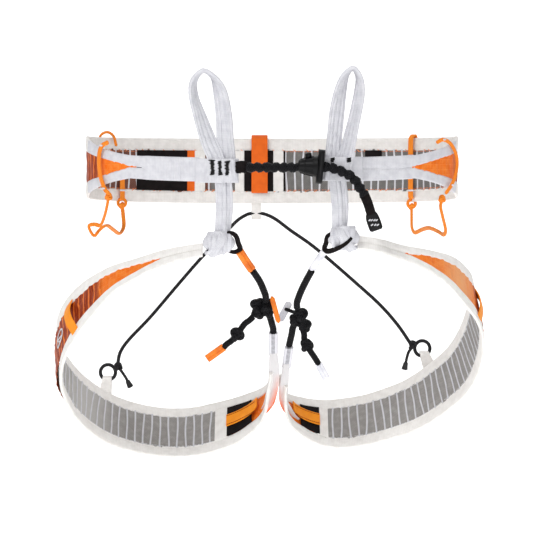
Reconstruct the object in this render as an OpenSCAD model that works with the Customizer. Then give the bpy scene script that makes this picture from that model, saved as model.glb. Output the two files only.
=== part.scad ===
// Climbing harness: a waist belt and two leg loops of webbing strands over a
// mesh liner, with tie-in loops, gear loops, elastics, closures and a stopper.
// Z is up, the front is at -Y and +X is the wearer's left. The origin is the
// middle of the waist. Sizes are in millimetres.

/* [Waist belt] */
// Width of the waist opening, side to side
waist_w = 300; // [290:2:310]
// Depth of the waist opening, front to back
waist_d = 190; // [184:2:196]
// Height of the belt at the middle of the back
belt_h = 56; // [52:1:58]
// Height of the belt at the hips
hip_h = 50; // [46:1:52]
// Width of the single strap at the front
strap_w = 18; // [16:1:20]

/* [Webbing] */
// Width of each strand along the edges of the belt and the leg loops
strand_w = 11; // [9:0.5:12]
// Thickness of a strand
strand_t = 1.4; // [1:0.1:1.8]
// Thickness of the mesh liner
liner_t = 1; // [0.8:0.1:1.2]
// Width of the tie-in loop webbing
loop_w = 13; // [11:1:14]
// Thickness of the tie-in loop webbing
loop_t = 1.8; // [1.4:0.1:2]

/* [Leg loops] */
// Height of a leg loop behind the thigh
leg_h = 54; // [50:1:56]
// Run of a leg loop towards the back for each millimetre that it hangs down
leg_slope = 0.9; // [0.86:0.01:0.94]

/* [Cords] */
// Diameter of the rear elastic
elastic_d = 3; // [2.5:0.1:3.2]
// Diameter of the cords that close the leg loops
closure_d = 4; // [3:0.1:4.4]
// Diameter of the gear loop cord
gear_d = 3.2; // [2.6:0.1:3.6]
// Diameter of the cord between the tie-in loops
connector_d = 7.4; // [6:0.1:8]

/* [Hidden] */

LEFT = 1;
RIGHT = -1;
ORANGE = "#f28a1c";
WHITE = "#e9e9ec";
BLACK = "#232324";
GREY = "#77736d";

// Layers of the belt and the leg loops, as distances outwards from their middle
layer_gap = 0.2;
liner_out = -0.35;
liner_in = liner_out - liner_t;
strand_out = strand_t;
shell_out = 0.8;
panel_out = liner_in - layer_gap;
panel_in = panel_out - 1;
overlay_out = panel_in - layer_gap;
overlay_in = overlay_out - 1.2;

// The waist is a superellipse of this power, swept by an angle from +X to +Y
squareness = 2.4;
belt_from = -43;
belt_to = 233;
strap_left_from = -72;
strap_right_to = 252;

// Each side's knot, where the leg loop hangs from its riser
knot_at = [[55, -95, -52], [-41, -95, -56]];
knot_len = [20, 23];
knot_r = [9, 8.5];
// A leg loop's middle line lies in a sloping plane through this depth
plane_y = -92;
function hand(side, pair) = side > 0 ? pair[0] : pair[1];

// Stations of the leg loops from the knot round the thigh to the closure:
// across, up, height of the band, and its lean outwards
leg_rows_left = [
    [66, -56, 14, 0], [84, -59, 15, 0.05], [103, -65, 17, 0.1], [123, -71, 24, 0.12],
    [140, -80, 34, 0.15], [152, -91, 44, 0.05], [161, -103, 50, -0.05],
    [165, -118, leg_h, -0.15], [163, -143, leg_h, -0.25], [154, -165, leg_h, -0.3],
    [138, -182, leg_h, -0.28], [122, -195, leg_h, -0.25], [104, -204, leg_h, -0.22],
    [80, -212, leg_h, -0.18], [52, -216, leg_h, -0.15], [29, -211, 47, -0.12],
    [13, -200, 34, -0.15], [9, -183, 18, -0.4], [12, -163, 13, -0.7]
];
leg_rows_right = [
    [-54, -62, 14, 0], [-79, -67, 17, 0], [-106, -77, 22, -0.12], [-128, -88, 31, -0.15],
    [-150, -107, 44, -0.2], [-166, -127, 52, -0.2], [-174, -149, leg_h, -0.18],
    [-171, -172, leg_h, -0.12], [-156, -196, leg_h, -0.03], [-133, -213, leg_h, 0],
    [-104, -222, leg_h, 0], [-76, -224, leg_h, 0], [-49, -219, leg_h, 0],
    [-24, -209, 49, 0], [-7, -195, 35, 0], [0, -172, 18, 0.4], [1, -151, 13, 0.8]
];
leg_steps = 4;

// Routes of the cords, chosen by hand
elastic_left = [
    [-8, 96.5, -38], [-2, 95, -40], [5, 94, -44], [17, 91, -53], [33, 88, -64], [49, 85, -77],
    [72, 82, -97], [93, 78, -116], [108, 73, -133], [119, 68, -149]
];
elastic_right = [
    [-19, 96.5, -38], [-24, 94, -40], [-30, 92, -44], [-38, 90, -52], [-60, 87, -75],
    [-81, 84, -99], [-104, 80, -126], [-123, 76, -146], [-130, 73, -156], [-132, 72, -164]
];
cord_left = [[31, -69, -79], [27, -62, -87], [23, -54, -96], [20, -46, -105], [20, -41, -110]];
cord_right = [[-15, -72, -79], [-10, -65, -87], [-7, -58, -94], [-5, -53, -100], [-5, -49, -104]];
lower_cord_left = [[17, -25, -127], [16, -20, -133], [15, -15, -138], [14, -11, -143]];
lower_cord_right = [[-1, -34, -120], [0, -31, -124], [1, -27, -128], [1, -25, -131]];
tail_left = [
    [26, -30, -133], [26, -30, -136], [28, -30, -141], [31, -30, -146], [35, -30, -152],
    [38, -30, -157]
];
tail_right = [
    [-15, -43, -117], [-18, -43, -120], [-22, -43, -123], [-27, -43, -130], [-32, -43, -136],
    [-36, -43, -139], [-39, -43, -142]
];
connector = [[-20, -105, 2], [0, -105, 2], [20, -105, 2], [40, -105, 2], [48, -106, 1], [54, -107, -1]];
connector_end = [[57, -107, -3], [61, -108, -7], [65, -108, -12], [68, -108, -17]];
gear_front_left = [
    [134, -47, 22], [138, -47, 25], [144, -44, 22], [149, -38, 15], [151, -34, 7],
    [149, -40, -4], [144, -47, -13], [138, -51, -18]
];
gear_front_right = [
    [-128, -52, 23], [-134, -55, 20], [-137, -56, 11], [-138, -56, 0], [-137, -56, -9],
    [-135, -58, -14], [-131, -60, -17]
];
gear_hang_left = [
    [119, 65, -31], [119, 64, -41], [119, 60, -49], [121, 53, -53], [126, 38, -50],
    [130, 15, -48], [135, -10, -50], [138, -27, -52], [139, -36, -48], [136, -42, -37],
    [134, -46, -29], [135, -48, -23]
];
gear_hang_right = [
    [-129, -56, -21], [-130, -53, -27], [-133, -47, -35], [-139, -38, -44], [-143, -31, -53],
    [-147, -24, -50], [-145, -13, -45], [-139, 8, -47], [-132, 31, -51], [-127, 47, -53],
    [-125, 54, -44], [-127, 55, -30]
];

// ---- Curves ----

function unit(v) = v / norm(v);

function mix(a, b, t) = a + (b - a) * t;

// A point or row on the smooth curve through rows, at place u counted in rows
function row_at(rows, u) =
    let (
        i = min(floor(u), len(rows) - 2),
        t = u - i,
        b = rows[i],
        c = rows[i + 1],
        a = i > 0 ? rows[i - 1] : 2 * b - c,
        d = i < len(rows) - 2 ? rows[i + 2] : 2 * c - b
    )
    0.5 * (2 * b + (c - a) * t + (2 * a - 5 * b + 4 * c - d) * t * t
        + (3 * b - a - 3 * c + d) * t * t * t);

// The smooth curve through rows, with so many steps between two of them
function smooth(rows, steps) =
    [for (k = [0 : (len(rows) - 1) * steps]) row_at(rows, k / steps)];

// Unit directions along a list of points
function directions(points) =
    [for (i = [0 : len(points) - 1])
        unit(points[min(i + 1, len(points) - 1)] - points[max(i - 1, 0)])];

// One side direction per point, carried along the curve without twisting
function carried(dirs, start, i = 0) =
    i == len(dirs) ? [] :
    let (side = unit(start - (start * dirs[i]) * dirs[i]))
    concat([side], carried(dirs, side, i + 1));

// ---- Swept solids ----

// A closed solid through rings of equally many points
module skin(rings) {
    n = len(rings[0]);
    m = len(rings);
    sides = [for (i = [0 : m - 2]) for (j = [0 : n - 1])
        let (a = i * n + j, b = i * n + (j + 1) % n)
        each [[a, b + n, b], [a, a + n, b + n]]];
    start = [for (j = [1 : n - 2]) [0, j, j + 1]];
    end = [for (j = [1 : n - 2]) [(m - 1) * n, (m - 1) * n + j + 1, (m - 1) * n + j]];
    polyhedron([for (ring = rings) each ring], concat(start, sides, end));
}

// Half the thickness at point p of a cord that swells over knots, each a place
// and a radius
function girth(p, d, knots) =
    max(concat([d / 2],
        [for (k = knots) sqrt(max(0, k[3] * k[3] - pow(norm(p - [k[0], k[1], k[2]]), 2)))]));

// A round cord along a route
module cord(route, d, steps = 2, sides = 8, knots = []) {
    points = smooth(route, steps);
    dirs = directions(points);
    across = carried(dirs, abs(dirs[0].z) < 0.9 ? [0, 0, 1] : [0, 1, 0]);
    skin([for (i = [0 : len(points) - 1])
        let (v = cross(dirs[i], across[i]), r = girth(points[i], d, knots))
        [for (k = [0 : sides - 1])
            points[i] + r * (across[i] * cos(360 * k / sides) + v * sin(360 * k / sides))]]);
}

// A flat band along points: across gives its width direction at each point,
// edges its two edges along that, and it is thick from inner to outer. The
// outer face is on the left of the run, seen along across, or on the right
// where side is RIGHT.
module band(points, across, edges, inner, outer, side = LEFT) {
    dirs = directions(points);
    skin([for (i = [0 : len(points) - 1])
        let (
            w = unit(across[i] - (across[i] * dirs[i]) * dirs[i]),
            n = side * cross(dirs[i], w),
            a = points[i] + w * edges[i][0],
            b = points[i] + w * edges[i][1],
            ring = [a + n * inner, b + n * inner, b + n * outer, a + n * outer]
        )
        side > 0 ? ring : [for (k = [3 : -1 : 0]) ring[k]]]);
}

// A short straight piece of flat tape between two points
module tape(from, to, across, w, t) {
    band([from, mix(from, to, 0.5), to], [across, across, across],
        [for (k = [0 : 2]) [-w / 2, w / 2]], -t / 2, t / 2);
}

// ---- Where the layers of a band lie across its height h ----

// The two strands lie side by side in a strap, and each narrows where they part
function strand_at(h) =
    min(strand_w, lookup(h, [[12, 5.6], [18, 8], [20, 7.6], [26, 7.2], [40, 9.5], [50, 12]]));

full = function (h) [-h / 2, h / 2];
top_edge = function (h) [h / 2 - strand_at(h), h / 2];
bottom_edge = function (h) [-h / 2, -h / 2 + strand_at(h)];
between = function (h) [bottom_edge(h)[1] + layer_gap, top_edge(h)[0] - layer_gap];

// ---- Waist belt ----

function rounded(v) = sign(v) * pow(abs(v), 2 / squareness);

function belt_height(y) =
    lookup(y, [[-95, strap_w], [-72, strap_w], [-44, 34], [-15, hip_h], [95, belt_h]]);

function belt_middle(y) = lookup(y, [[-95, 0], [-72, 2.5], [-15, 2.5], [95, -1]]);

function belt_row(angle) =
    let (x = waist_w / 2 * rounded(cos(angle)), y = waist_d / 2 * rounded(sin(angle)))
    [x, y, belt_middle(y), belt_height(y)];

module belt_band(from, to, steps, place, inner, outer) {
    rows = [for (k = [0 : steps]) belt_row(mix(from, to, k / steps))];
    band([for (r = rows) [r[0], r[1], r[2]]], [for (r = rows) [0, 0, 1]],
        [for (r = rows) place(r[3])], inner, outer);
}

module belt_liner() { color(GREY) belt_band(belt_from, belt_to, 60, full, liner_in, liner_out); }

module belt_top_strand() { color(WHITE) belt_band(belt_from, belt_to, 60, top_edge, 0, strand_out); }

module belt_bottom_strand() {
    color(WHITE) belt_band(belt_from, belt_to, 60, bottom_edge, 0, strand_out);
}

// The outer fabric fills the space between the strands, from hip to hip
module belt_shell() { color(ORANGE) belt_band(-41, 231, 54, between, 0, shell_out); }

// From the end of the belt to its cuff
module front_strap(side) {
    color(WHITE)
    if (side == LEFT) belt_band(strap_left_from, belt_from - 0.4, 8, full, liner_in, strand_out);
    else belt_band(belt_to + 0.4, strap_right_to, 8, full, liner_in, strand_out);
}

// ---- Tie-in points ----

cuff_x = [[39, 60], [-49.5, -26]];
cuff_z = [1, -0.5];
cuff_y = -97;
stack_gap = 1.15;
cuff_wall = 1.2;
cuff_slot = 4.8;

// The strap folded round the tie-in webbing, closed on its inner end
module cuff(side) {
    x = hand(side, cuff_x);
    outside = cuff_slot / 2 + cuff_wall;
    color(WHITE)
    translate([0, cuff_y, hand(side, cuff_z) - strap_w / 2])
    difference() {
        translate([x[0], -outside, 0]) cube([x[1] - x[0], 2 * outside, strap_w]);
        translate([side > 0 ? x[0] + cuff_wall : x[0] - 1, -cuff_slot / 2, -1])
            cube([x[1] - x[0] - cuff_wall + 1, cuff_slot, strap_w + 2]);
    }
}

// Webbing that stands up in an arch with a half twist: across, up, twist, and
// the layer of the stack that it lies in
tie_in_rows_right = [
    [-43, -8, 0, -1], [-43, 8, 0, -1], [-49, 23, 20, -0.6], [-55, 40, 45, 0], [-60, 56, 62, 0],
    [-60, 68, 76, 0], [-53, 76, 90, 0], [-45, 71, 108, 0], [-40, 60, 140, 0.2],
    [-37, 42, 165, 0.6], [-36, 24, 176, 1], [-34.5, 8, 180, 1], [-34.5, -8, 180, 1]
];
tie_in_rows_left = [
    [47, -7, 0, 1], [47, 9, 0, 1], [50, 24, 4, 1], [51.5, 42, 15, 0.6], [53, 60, 40, 0.2],
    [56, 72, 70, 0], [62, 78, 90, 0], [67, 71, 105, 0], [67.5, 60, 122, 0],
    [64, 42, 138, 0], [60, 24, 160, -0.6], [53, 9, 180, -1], [53, -7, 180, -1]
];

module tie_in_loop(side) {
    rows = smooth(hand(side, [tie_in_rows_left, tie_in_rows_right]), 3);
    color(WHITE)
    band([for (r = rows) [r[0], cuff_y + stack_gap * r[3], r[1]]],
        [for (r = rows) [cos(r[2]), sin(r[2]), 0]],
        [for (r = rows) [-loop_w / 2, loop_w / 2]], -loop_t / 2, loop_t / 2);
}

// Two strands side by side from the cuff down to the leg loop's knot
module riser(side) {
    knot = hand(side, knot_at);
    strand = 6.4;
    top = [hand(side, [48.5, -38.4]), cuff_y, hand(side, cuff_z) - strap_w / 2 - 0.3];
    bottom = [hand(side, [53, -40]), knot.y, knot.z + hand(side, knot_r) + 0.6];
    color(WHITE)
    for (k = [-1, 1])
        tape(top + [k * (strand + 0.4) / 2, 0, 0], bottom + [k * (strand + 0.2) / 2, 0, 0],
            [1, 0, 0], strand, 2.2);
}

// ---- Back of the belt ----

// Angles of the black elastic panel at the middle of the back
rear_panel_from = 89.2;
rear_panel_to = 98.6;
rear_strap_angle = 92.4;
rear_strap_w = 14;

module rear_panel() {
    color(BLACK) belt_band(rear_panel_from, rear_panel_to, 4, between, panel_in, panel_out);
}

// A strap that runs up the inside of the belt and over its top edge
module hooked_strap(angle, w, low_inside, low_outside) {
    row = belt_row(angle);
    run = belt_row(angle + 1) - belt_row(angle - 1);
    along = unit([run.x, run.y, 0]);
    outward = [along.y, -along.x, 0];
    top = row[2] + row[3] / 2;
    inside = overlay_in - 0.6;
    outside = strand_out + 1.4;
    route = [
        [low_inside, inside], [0, inside], [top - 1, inside - 0.3], [top + 2.6, 0],
        [top - 3, outside], [low_outside, outside]
    ];
    points = smooth([for (r = route) [row.x, row.y, r[0]] + r[1] * outward], 2);
    band(points, [for (p = points) along], [for (p = points) [-w / 2, w / 2]], -0.5, 0.5);
}

// An orange strap over the middle of the back
module rear_strap() { color(ORANGE) hooked_strap(rear_strap_angle, rear_strap_w, -19, 12); }

// Black patches that close the slots for gear clips
module belt_patches() {
    color(BLACK)
    for (span = [[121, 141], [49, 55]])
        belt_band(span[0], span[1], 5, between, panel_in, panel_out);
}

// A folded white tab that holds the rear elastic under the belt
module rear_tab() {
    w = 8.5;
    color(WHITE)
    translate([-13.5 - w / 2, waist_d / 2, -42])
    difference() {
        cube([w, 3.4, 12.6]);
        translate([-1, 0.9, 1]) cube([w + 2, 1.6, 5]);
    }
}

module rear_elastic(side) { color(BLACK) cord(hand(side, [elastic_left, elastic_right]), elastic_d, 3); }

// ---- Gear loops ----

// Angles of the tapes inside the belt that hold the back ends of the gear loops
gear_angles = [39.6, 147.4];

// The sewn parts of a gear loop: a cord up the front, and a tape over the edge
module gear_loop_anchor(side) {
    color(ORANGE) {
        cord(hand(side, [gear_front_left, gear_front_right]), gear_d, 2);
        hooked_strap(hand(side, gear_angles), 5.6, -26, 18);
    }
}

module gear_loop(side) {
    color(ORANGE) cord(hand(side, [gear_hang_left, gear_hang_right]), gear_d, 2);
}

// ---- Connector between the tie-in points ----

module connector_anchor() {
    color(BLACK) translate([-26, -107, -3]) cube([4.6, 6, 9]);
}

module connector_cord() { color(BLACK) cord(connector, connector_d, 3, 12); }

stopper_from = 18;
stopper_len = 18;
stopper_bore = 4.3;
stopper_mouth = 12;
stopper_wall = 1.5;
rim_r = 13.4;
rim_t = 3;
rim_tilt = 10;

// A flared moulding that slides along the cord, with a tilted rim and a window
module stopper() {
    color(BLACK)
    translate([stopper_from, connector[0].y, connector[0].z]) rotate([0, 90, 0])
    difference() {
        union() {
            cylinder(h = stopper_len, r1 = stopper_bore + 1, r2 = stopper_mouth, $fn = 48);
            translate([0, 0, stopper_len - 0.5]) rotate([0, rim_tilt, 0])
                translate([0, 0, -rim_t / 2]) cylinder(h = rim_t, r = rim_r, $fn = 48);
        }
        translate([0, 0, -1]) cylinder(h = stopper_len + 8, r = stopper_bore, $fn = 48);
        translate([0, 0, 3])
            cylinder(h = stopper_len, r1 = stopper_bore, r2 = stopper_mouth - stopper_wall, $fn = 48);
        translate([0, 0, stopper_len / 2 + 3]) rotate([90, 0, 0])
            cylinder(h = 2 * rim_r, r = 4, $fn = 32);
    }
}

module connector_tail() { color(BLACK) cord(connector_end, connector_d - 1, 2); }

module connector_sleeve() {
    color(BLACK) tape([68.6, -108, -17.6], [73.5, -107.5, -28.5], [1, 0, 0.45], 9, 5);
}

module pull_tab() {
    color(BLACK) tape([73.8, -107.5, -29.3], [81, -107, -46], [1, 0, 0.45], 9.5, 2.6);
}

// ---- Leg loops ----

function leg_rows(side) = hand(side, [leg_rows_left, leg_rows_right]);

function in_plane(side, x, z) = [x, plane_y + leg_slope * (hand(side, knot_at).z - z), z];

// A layer of the leg loop from one station to another
module leg_band(side, from, to, place, inner, outer) {
    steps = round((to - from) * leg_steps);
    rows = [for (k = [0 : steps]) row_at(leg_rows(side), mix(from, to, k / steps))];
    band([for (r = rows) in_plane(side, r[0], r[1])],
        [for (r = rows) unit([r[3], 1, leg_slope])],
        [for (r = rows) place(r[2])], inner, outer, side);
}

function last_row(side) = len(leg_rows(side)) - 1;

module leg_liner(side) {
    color(GREY) leg_band(side, 0, last_row(side), full, liner_in, liner_out);
}

module leg_upper_strand(side) {
    color(WHITE) leg_band(side, 0, last_row(side), top_edge, 0, strand_out);
}

module leg_lower_strand(side) {
    color(WHITE) leg_band(side, 0, last_row(side), bottom_edge, 0, strand_out);
}

module leg_shell(side) {
    color(ORANGE)
    leg_band(side, hand(side, [2.5, 1.75]), hand(side, [16, 14]), between, 0, shell_out);
}

// Webbing hitched round the riser: round about X, so that the leg loop can swing
module leg_knot(side) {
    half = hand(side, knot_len) / 2;
    r = hand(side, knot_r);
    color(WHITE)
    translate(hand(side, knot_at)) rotate([0, 90, 0])
    rotate_extrude($fn = 48)
        polygon(concat([[0, -half]],
            [for (a = [-80 : 20 : 80]) [r * pow(cos(a), 0.6), half * sin(a)]], [[0, half]]));
}

// The stretchy black panel at the low inner corner, inside the liner
module leg_panel(side) {
    color(BLACK)
    leg_band(side, hand(side, [14.75, 12.75]), hand(side, [16, 14]), between, panel_in, panel_out);
}

// The orange adjusting strap sewn across that panel
module leg_adjuster(side) {
    color(ORANGE)
    leg_band(side, hand(side, [14.75, 12.75]), hand(side, [16.5, 14.5]),
        function (h) [-6, min(7, h / 2 - 1)], overlay_in, overlay_out);
}

// A tab on the upper edge at the back, with the ring that the elastic ties to
module leg_tab(side) {
    ring = hand(side, [[129, 70, -153], [-141, 74, -174]]);
    foot = hand(side, [[134, 62, -167], [-143, 70, -192]]);
    ring_r = 6;
    wire_r = 1.2;
    color(WHITE) {
        translate(ring) rotate([90, 0, 0]) rotate_extrude($fn = 32)
            translate([ring_r, 0]) circle(r = wire_r, $fn = 16);
        tape(ring + (ring_r + wire_r + 0.2) * unit(foot - ring), foot, [1, 0, 0], 6.5, 2);
    }
}

// The stitched end of the leg loop that the closure cord runs into
module strap_sleeve(side) {
    end = leg_rows(side)[last_row(side)];
    low = in_plane(side, end[0], end[1] + 0.6);
    high = hand(side, [[14, -10, -144.5], [1, -24, -131.5]]);
    color(WHITE) tape(high, low, [1, 0, 0], 8, 4);
}

// ---- Leg loop closures ----

closure_loop_rows = [
    [[43.2, -100, -47], [42.2, -95, -51], [42, -89, -57], [44.5, -83.5, -62], [50, -81, -64]],
    [[-27.2, -100, -51], [-26.2, -95, -54], [-26, -89, -60], [-28.5, -84.5, -65], [-34, -83, -66]]
];

module closure_loop(side) { color(BLACK) cord(hand(side, closure_loop_rows), 3, 2); }

module closure_sleeve(side) {
    ends = hand(side, [
        [[40, -82.5, -63.5], [32, -70.5, -77]],
        [[-24, -85.5, -65], [-16, -73.5, -77.5]]
    ]);
    color(side > 0 ? WHITE : ORANGE) tape(ends[0], ends[1], [1, 0.4, 0.4], 5.4, 3.2);
}

module closure_cord(side) {
    color(BLACK) {
        cord(hand(side, [cord_left, cord_right]), closure_d, 2);
        cord(hand(side, [lower_cord_left, lower_cord_right]), closure_d, 2);
    }
}

// Lobes of the knot that ties the closure: place and radius
closure_lobes = [
    [[23, -34, -116, 5], [27, -27, -126, 4.6], [18, -31, -121, 4]],
    [[-11, -43, -110, 5.2], [-4, -43, -110, 5], [-10, -39, -115, 4], [-3, -39, -114, 3.6]]
];

module closure_knot(side) {
    color(BLACK)
    hull()
        for (lobe = hand(side, closure_lobes))
            translate([lobe[0], lobe[1], lobe[2]]) sphere(r = lobe[3], $fn = 20);
}

// The free end of the closure cord, with the knot that stops it
module closure_tail(side) {
    color(BLACK)
    cord(hand(side, [tail_left, tail_right]), closure_d, 4, 8,
        [hand(side, [[28, -30, -141, 4.6], [-28, -43, -131.5, 5.6]])]);
}

module tail_end(side) {
    ends = hand(side, [
        [[38.5, -30, -158], [44, -30, -168]],
        [[-40.5, -43, -142.8], [-52, -43, -151]]
    ]);
    color(side > 0 ? WHITE : ORANGE)
        tape(ends[0], ends[1], hand(side, [[1, 0, 0.55], [0.58, 0, -0.8]]), 5.2, 3.4);
}

toggle_ends = [[[14.6, -22, -106.5], [6, -22, -122.5]], [[-1, -52, -100], [4.8, -52, -121.5]]];
toggle_r = 1.6;

// A bar that tips through the eye of the knot to open the leg loop
module toggle(side) {
    ends = hand(side, toggle_ends);
    run = ends[1] - ends[0];
    color(side > 0 ? WHITE : ORANGE)
    translate(ends[0]) rotate([0, atan2(run.x, run.z), 0]) {
        translate([0, 0, toggle_r]) cylinder(h = norm(run) - 2 * toggle_r, r = toggle_r, $fn = 24);
        for (z = [toggle_r, norm(run) - toggle_r])
            translate([0, 0, z]) sphere(r = toggle_r, $fn = 24);
    }
}

belt_liner();
belt_shell();
belt_top_strand();
belt_bottom_strand();
front_strap(LEFT);  // front_strap_left
front_strap(RIGHT);  // front_strap_right
tie_in_loop(LEFT);  // tie_in_loop_left
tie_in_loop(RIGHT);  // tie_in_loop_right
cuff(LEFT);  // cuff_left
cuff(RIGHT);  // cuff_right
riser(LEFT);  // riser_left
riser(RIGHT);  // riser_right
rear_panel();
rear_strap();
belt_patches();
rear_tab();
rear_elastic(LEFT);  // rear_elastic_left
rear_elastic(RIGHT);  // rear_elastic_right
gear_loop_anchor(LEFT);  // gear_loop_anchor_left
gear_loop_anchor(RIGHT);  // gear_loop_anchor_right
gear_loop(LEFT);  // gear_loop_left
gear_loop(RIGHT);  // gear_loop_right
connector_anchor();
connector_cord();
stopper();
connector_tail();
connector_sleeve();
pull_tab();
leg_liner(LEFT);  // leg_liner_left
leg_liner(RIGHT);  // leg_liner_right
leg_shell(LEFT);  // leg_shell_left
leg_shell(RIGHT);  // leg_shell_right
leg_upper_strand(LEFT);  // leg_upper_strand_left
leg_upper_strand(RIGHT);  // leg_upper_strand_right
leg_lower_strand(LEFT);  // leg_lower_strand_left
leg_lower_strand(RIGHT);  // leg_lower_strand_right
leg_knot(LEFT);  // leg_knot_left
leg_knot(RIGHT);  // leg_knot_right
leg_panel(LEFT);  // leg_panel_left
leg_panel(RIGHT);  // leg_panel_right
leg_adjuster(LEFT);  // leg_adjuster_left
leg_adjuster(RIGHT);  // leg_adjuster_right
leg_tab(LEFT);  // leg_tab_left
leg_tab(RIGHT);  // leg_tab_right
strap_sleeve(LEFT);  // strap_sleeve_left
strap_sleeve(RIGHT);  // strap_sleeve_right
closure_loop(LEFT);  // closure_loop_left
closure_loop(RIGHT);  // closure_loop_right
closure_sleeve(LEFT);  // closure_sleeve_left
closure_sleeve(RIGHT);  // closure_sleeve_right
closure_cord(LEFT);  // closure_cord_left
closure_cord(RIGHT);  // closure_cord_right
closure_knot(LEFT);  // closure_knot_left
closure_knot(RIGHT);  // closure_knot_right
closure_tail(LEFT);  // closure_tail_left
closure_tail(RIGHT);  // closure_tail_right
tail_end(LEFT);  // tail_end_left
tail_end(RIGHT);  // tail_end_right
toggle(LEFT);  // toggle_left
toggle(RIGHT);  // toggle_right
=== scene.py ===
# A light climbing harness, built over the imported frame. Lengths are in
# millimetres until a mesh is made, and the frame's axes are kept: Z is up, the
# front is at -Y and +X is the wearer's left.
import math

import bmesh
import bpy
import numpy as np
from mathutils import Euler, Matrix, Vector


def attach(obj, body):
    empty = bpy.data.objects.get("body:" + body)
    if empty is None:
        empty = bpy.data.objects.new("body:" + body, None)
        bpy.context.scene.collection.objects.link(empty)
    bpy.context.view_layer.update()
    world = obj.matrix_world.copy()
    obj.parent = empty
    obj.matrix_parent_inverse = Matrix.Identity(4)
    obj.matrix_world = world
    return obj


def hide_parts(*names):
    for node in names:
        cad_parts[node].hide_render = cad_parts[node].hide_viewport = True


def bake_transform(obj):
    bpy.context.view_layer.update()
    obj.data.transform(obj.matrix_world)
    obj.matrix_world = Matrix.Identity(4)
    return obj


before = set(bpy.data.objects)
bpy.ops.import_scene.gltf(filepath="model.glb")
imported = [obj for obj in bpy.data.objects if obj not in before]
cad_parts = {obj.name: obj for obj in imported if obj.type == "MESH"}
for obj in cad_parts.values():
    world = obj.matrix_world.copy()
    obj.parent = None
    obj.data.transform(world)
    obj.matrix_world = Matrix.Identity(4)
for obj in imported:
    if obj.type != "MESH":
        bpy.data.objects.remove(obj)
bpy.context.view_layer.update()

MM = 0.001
LEFT, RIGHT = 1, -1
SIDES = {"left": LEFT, "right": RIGHT}
rng = np.random.default_rng(7)

# ---- Camera ----

CAMERA_HEIGHT_ANGLE = math.radians(3)
CAMERA_DISTANCE = 1.6
CAMERA_TARGET = Vector((-0.0016, 0, -0.082))

camera = bpy.data.objects.new("camera", bpy.data.cameras.new("camera"))
bpy.context.scene.collection.objects.link(camera)
back = Vector((0, -math.cos(CAMERA_HEIGHT_ANGLE), math.sin(CAMERA_HEIGHT_ANGLE)))
camera.location = CAMERA_TARGET + back * CAMERA_DISTANCE
camera.rotation_euler = (math.pi / 2 - CAMERA_HEIGHT_ANGLE, 0, 0)
camera.data.sensor_width = 36
camera.data.lens = 130.08
bpy.context.scene.camera = camera


# ---- Curves ----

def unit(v):
    v = np.asarray(v, float)
    return v / np.linalg.norm(v, axis=-1, keepdims=True)


def smooth(rows, steps=12):
    """The smooth curve through rows, with so many steps between two of them."""
    rows = np.asarray(rows, float)
    ends = np.vstack([2 * rows[0] - rows[1], rows, 2 * rows[-1] - rows[-2]])
    out = []
    for k in range((len(rows) - 1) * steps + 1):
        i = min(k // steps, len(rows) - 2)
        t = k / steps - i
        a, b, c, d = ends[i : i + 4]
        out.append(0.5 * (2 * b + (c - a) * t + (2 * a - 5 * b + 4 * c - d) * t**2
                          + (3 * b - a - 3 * c + d) * t**3))
    return np.array(out)


def run_of(points):
    """The distance along a line of points, at each of them."""
    steps = np.linalg.norm(np.diff(points[:, :3], axis=0), axis=1)
    return np.concatenate([[0], np.cumsum(steps)])


def even(points, step):
    """The same line, or table of rows that starts with x, y, z, at even steps."""
    run = run_of(points)
    at = np.linspace(0, run[-1], max(int(run[-1] / step), 3) + 1)
    return np.stack([np.interp(at, run, c) for c in points.T], 1)


def laid(rows, step, steps=10):
    """The smooth curve through rows, at even steps."""
    return even(smooth(rows, steps), step)


def directions(points):
    return unit(np.gradient(points, axis=0))


def carried(dirs, start):
    """One side direction per point, carried along without twisting."""
    out = []
    for d in dirs:
        start = unit(start - (start @ d) * d)
        out.append(start)
    return np.array(out)


def facing(degrees):
    """Level directions, turned so far from X."""
    turn = np.radians(degrees)
    return np.stack([np.cos(turn), np.sin(turn), 0 * turn], 1)


def both(half):
    """The two edges of a band, from its half widths."""
    return np.stack([-half, half], 1)


# ---- Swept parts, each a dict of rings of points and their uv in millimetres ----

def flat(points, across, edges, inner, outer, side=LEFT, cuts=22, lift=None, dent=None, run=None):
    """A band of webbing with round edges. lift moves both faces outwards and
    dent thickens both; they take the distances along and from the band's middle."""
    points = np.asarray(points, float)
    m = len(points)
    dirs = directions(points)
    across = np.broadcast_to(np.asarray(across, float), (m, 3))
    edges = np.broadcast_to(np.asarray(edges, float), (m, 2))
    w = unit(across - (across * dirs).sum(1, keepdims=True) * dirs)
    n = side * np.cross(dirs, w)
    run = run_of(points) if run is None else run
    s = (1 - np.cos(np.linspace(0, np.pi, cuts))) / 2
    width = edges[:, 1:] - edges[:, :1]
    v = edges[:, :1] + width * s
    u = np.broadcast_to(run[:, None], v.shape)
    inner, outer = (np.broadcast_to(np.asarray(x, float), (m,))[:, None] for x in (inner, outer))
    half, middle = (outer - inner) / 2, (outer + inner) / 2
    from_edge = np.minimum(s, 1 - s) * width
    crown = np.sqrt(1 - np.clip(1 - from_edge / np.maximum(half, 1e-6), 0, 1) ** 2)
    from_middle = v - edges.mean(1, keepdims=True)
    shift = lift(u, from_middle) if lift else 0
    relief = dent(u, from_middle) * crown if dent else 0
    top = middle + half * crown + shift + relief
    low = middle - half * crown + shift - relief
    def place(height, columns):
        return (points[:, None] + w[:, None] * v[:, columns, None]
                + n[:, None] * height[:, columns, None])
    there, back_again = list(range(cuts)), list(range(cuts - 2, 0, -1))
    rings = np.concatenate([place(top, there), place(low, back_again)], 1)
    uv = np.stack([u, v], 2)[:, there + back_again + [0]]
    return {"rings": rings, "uv": uv}


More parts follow.
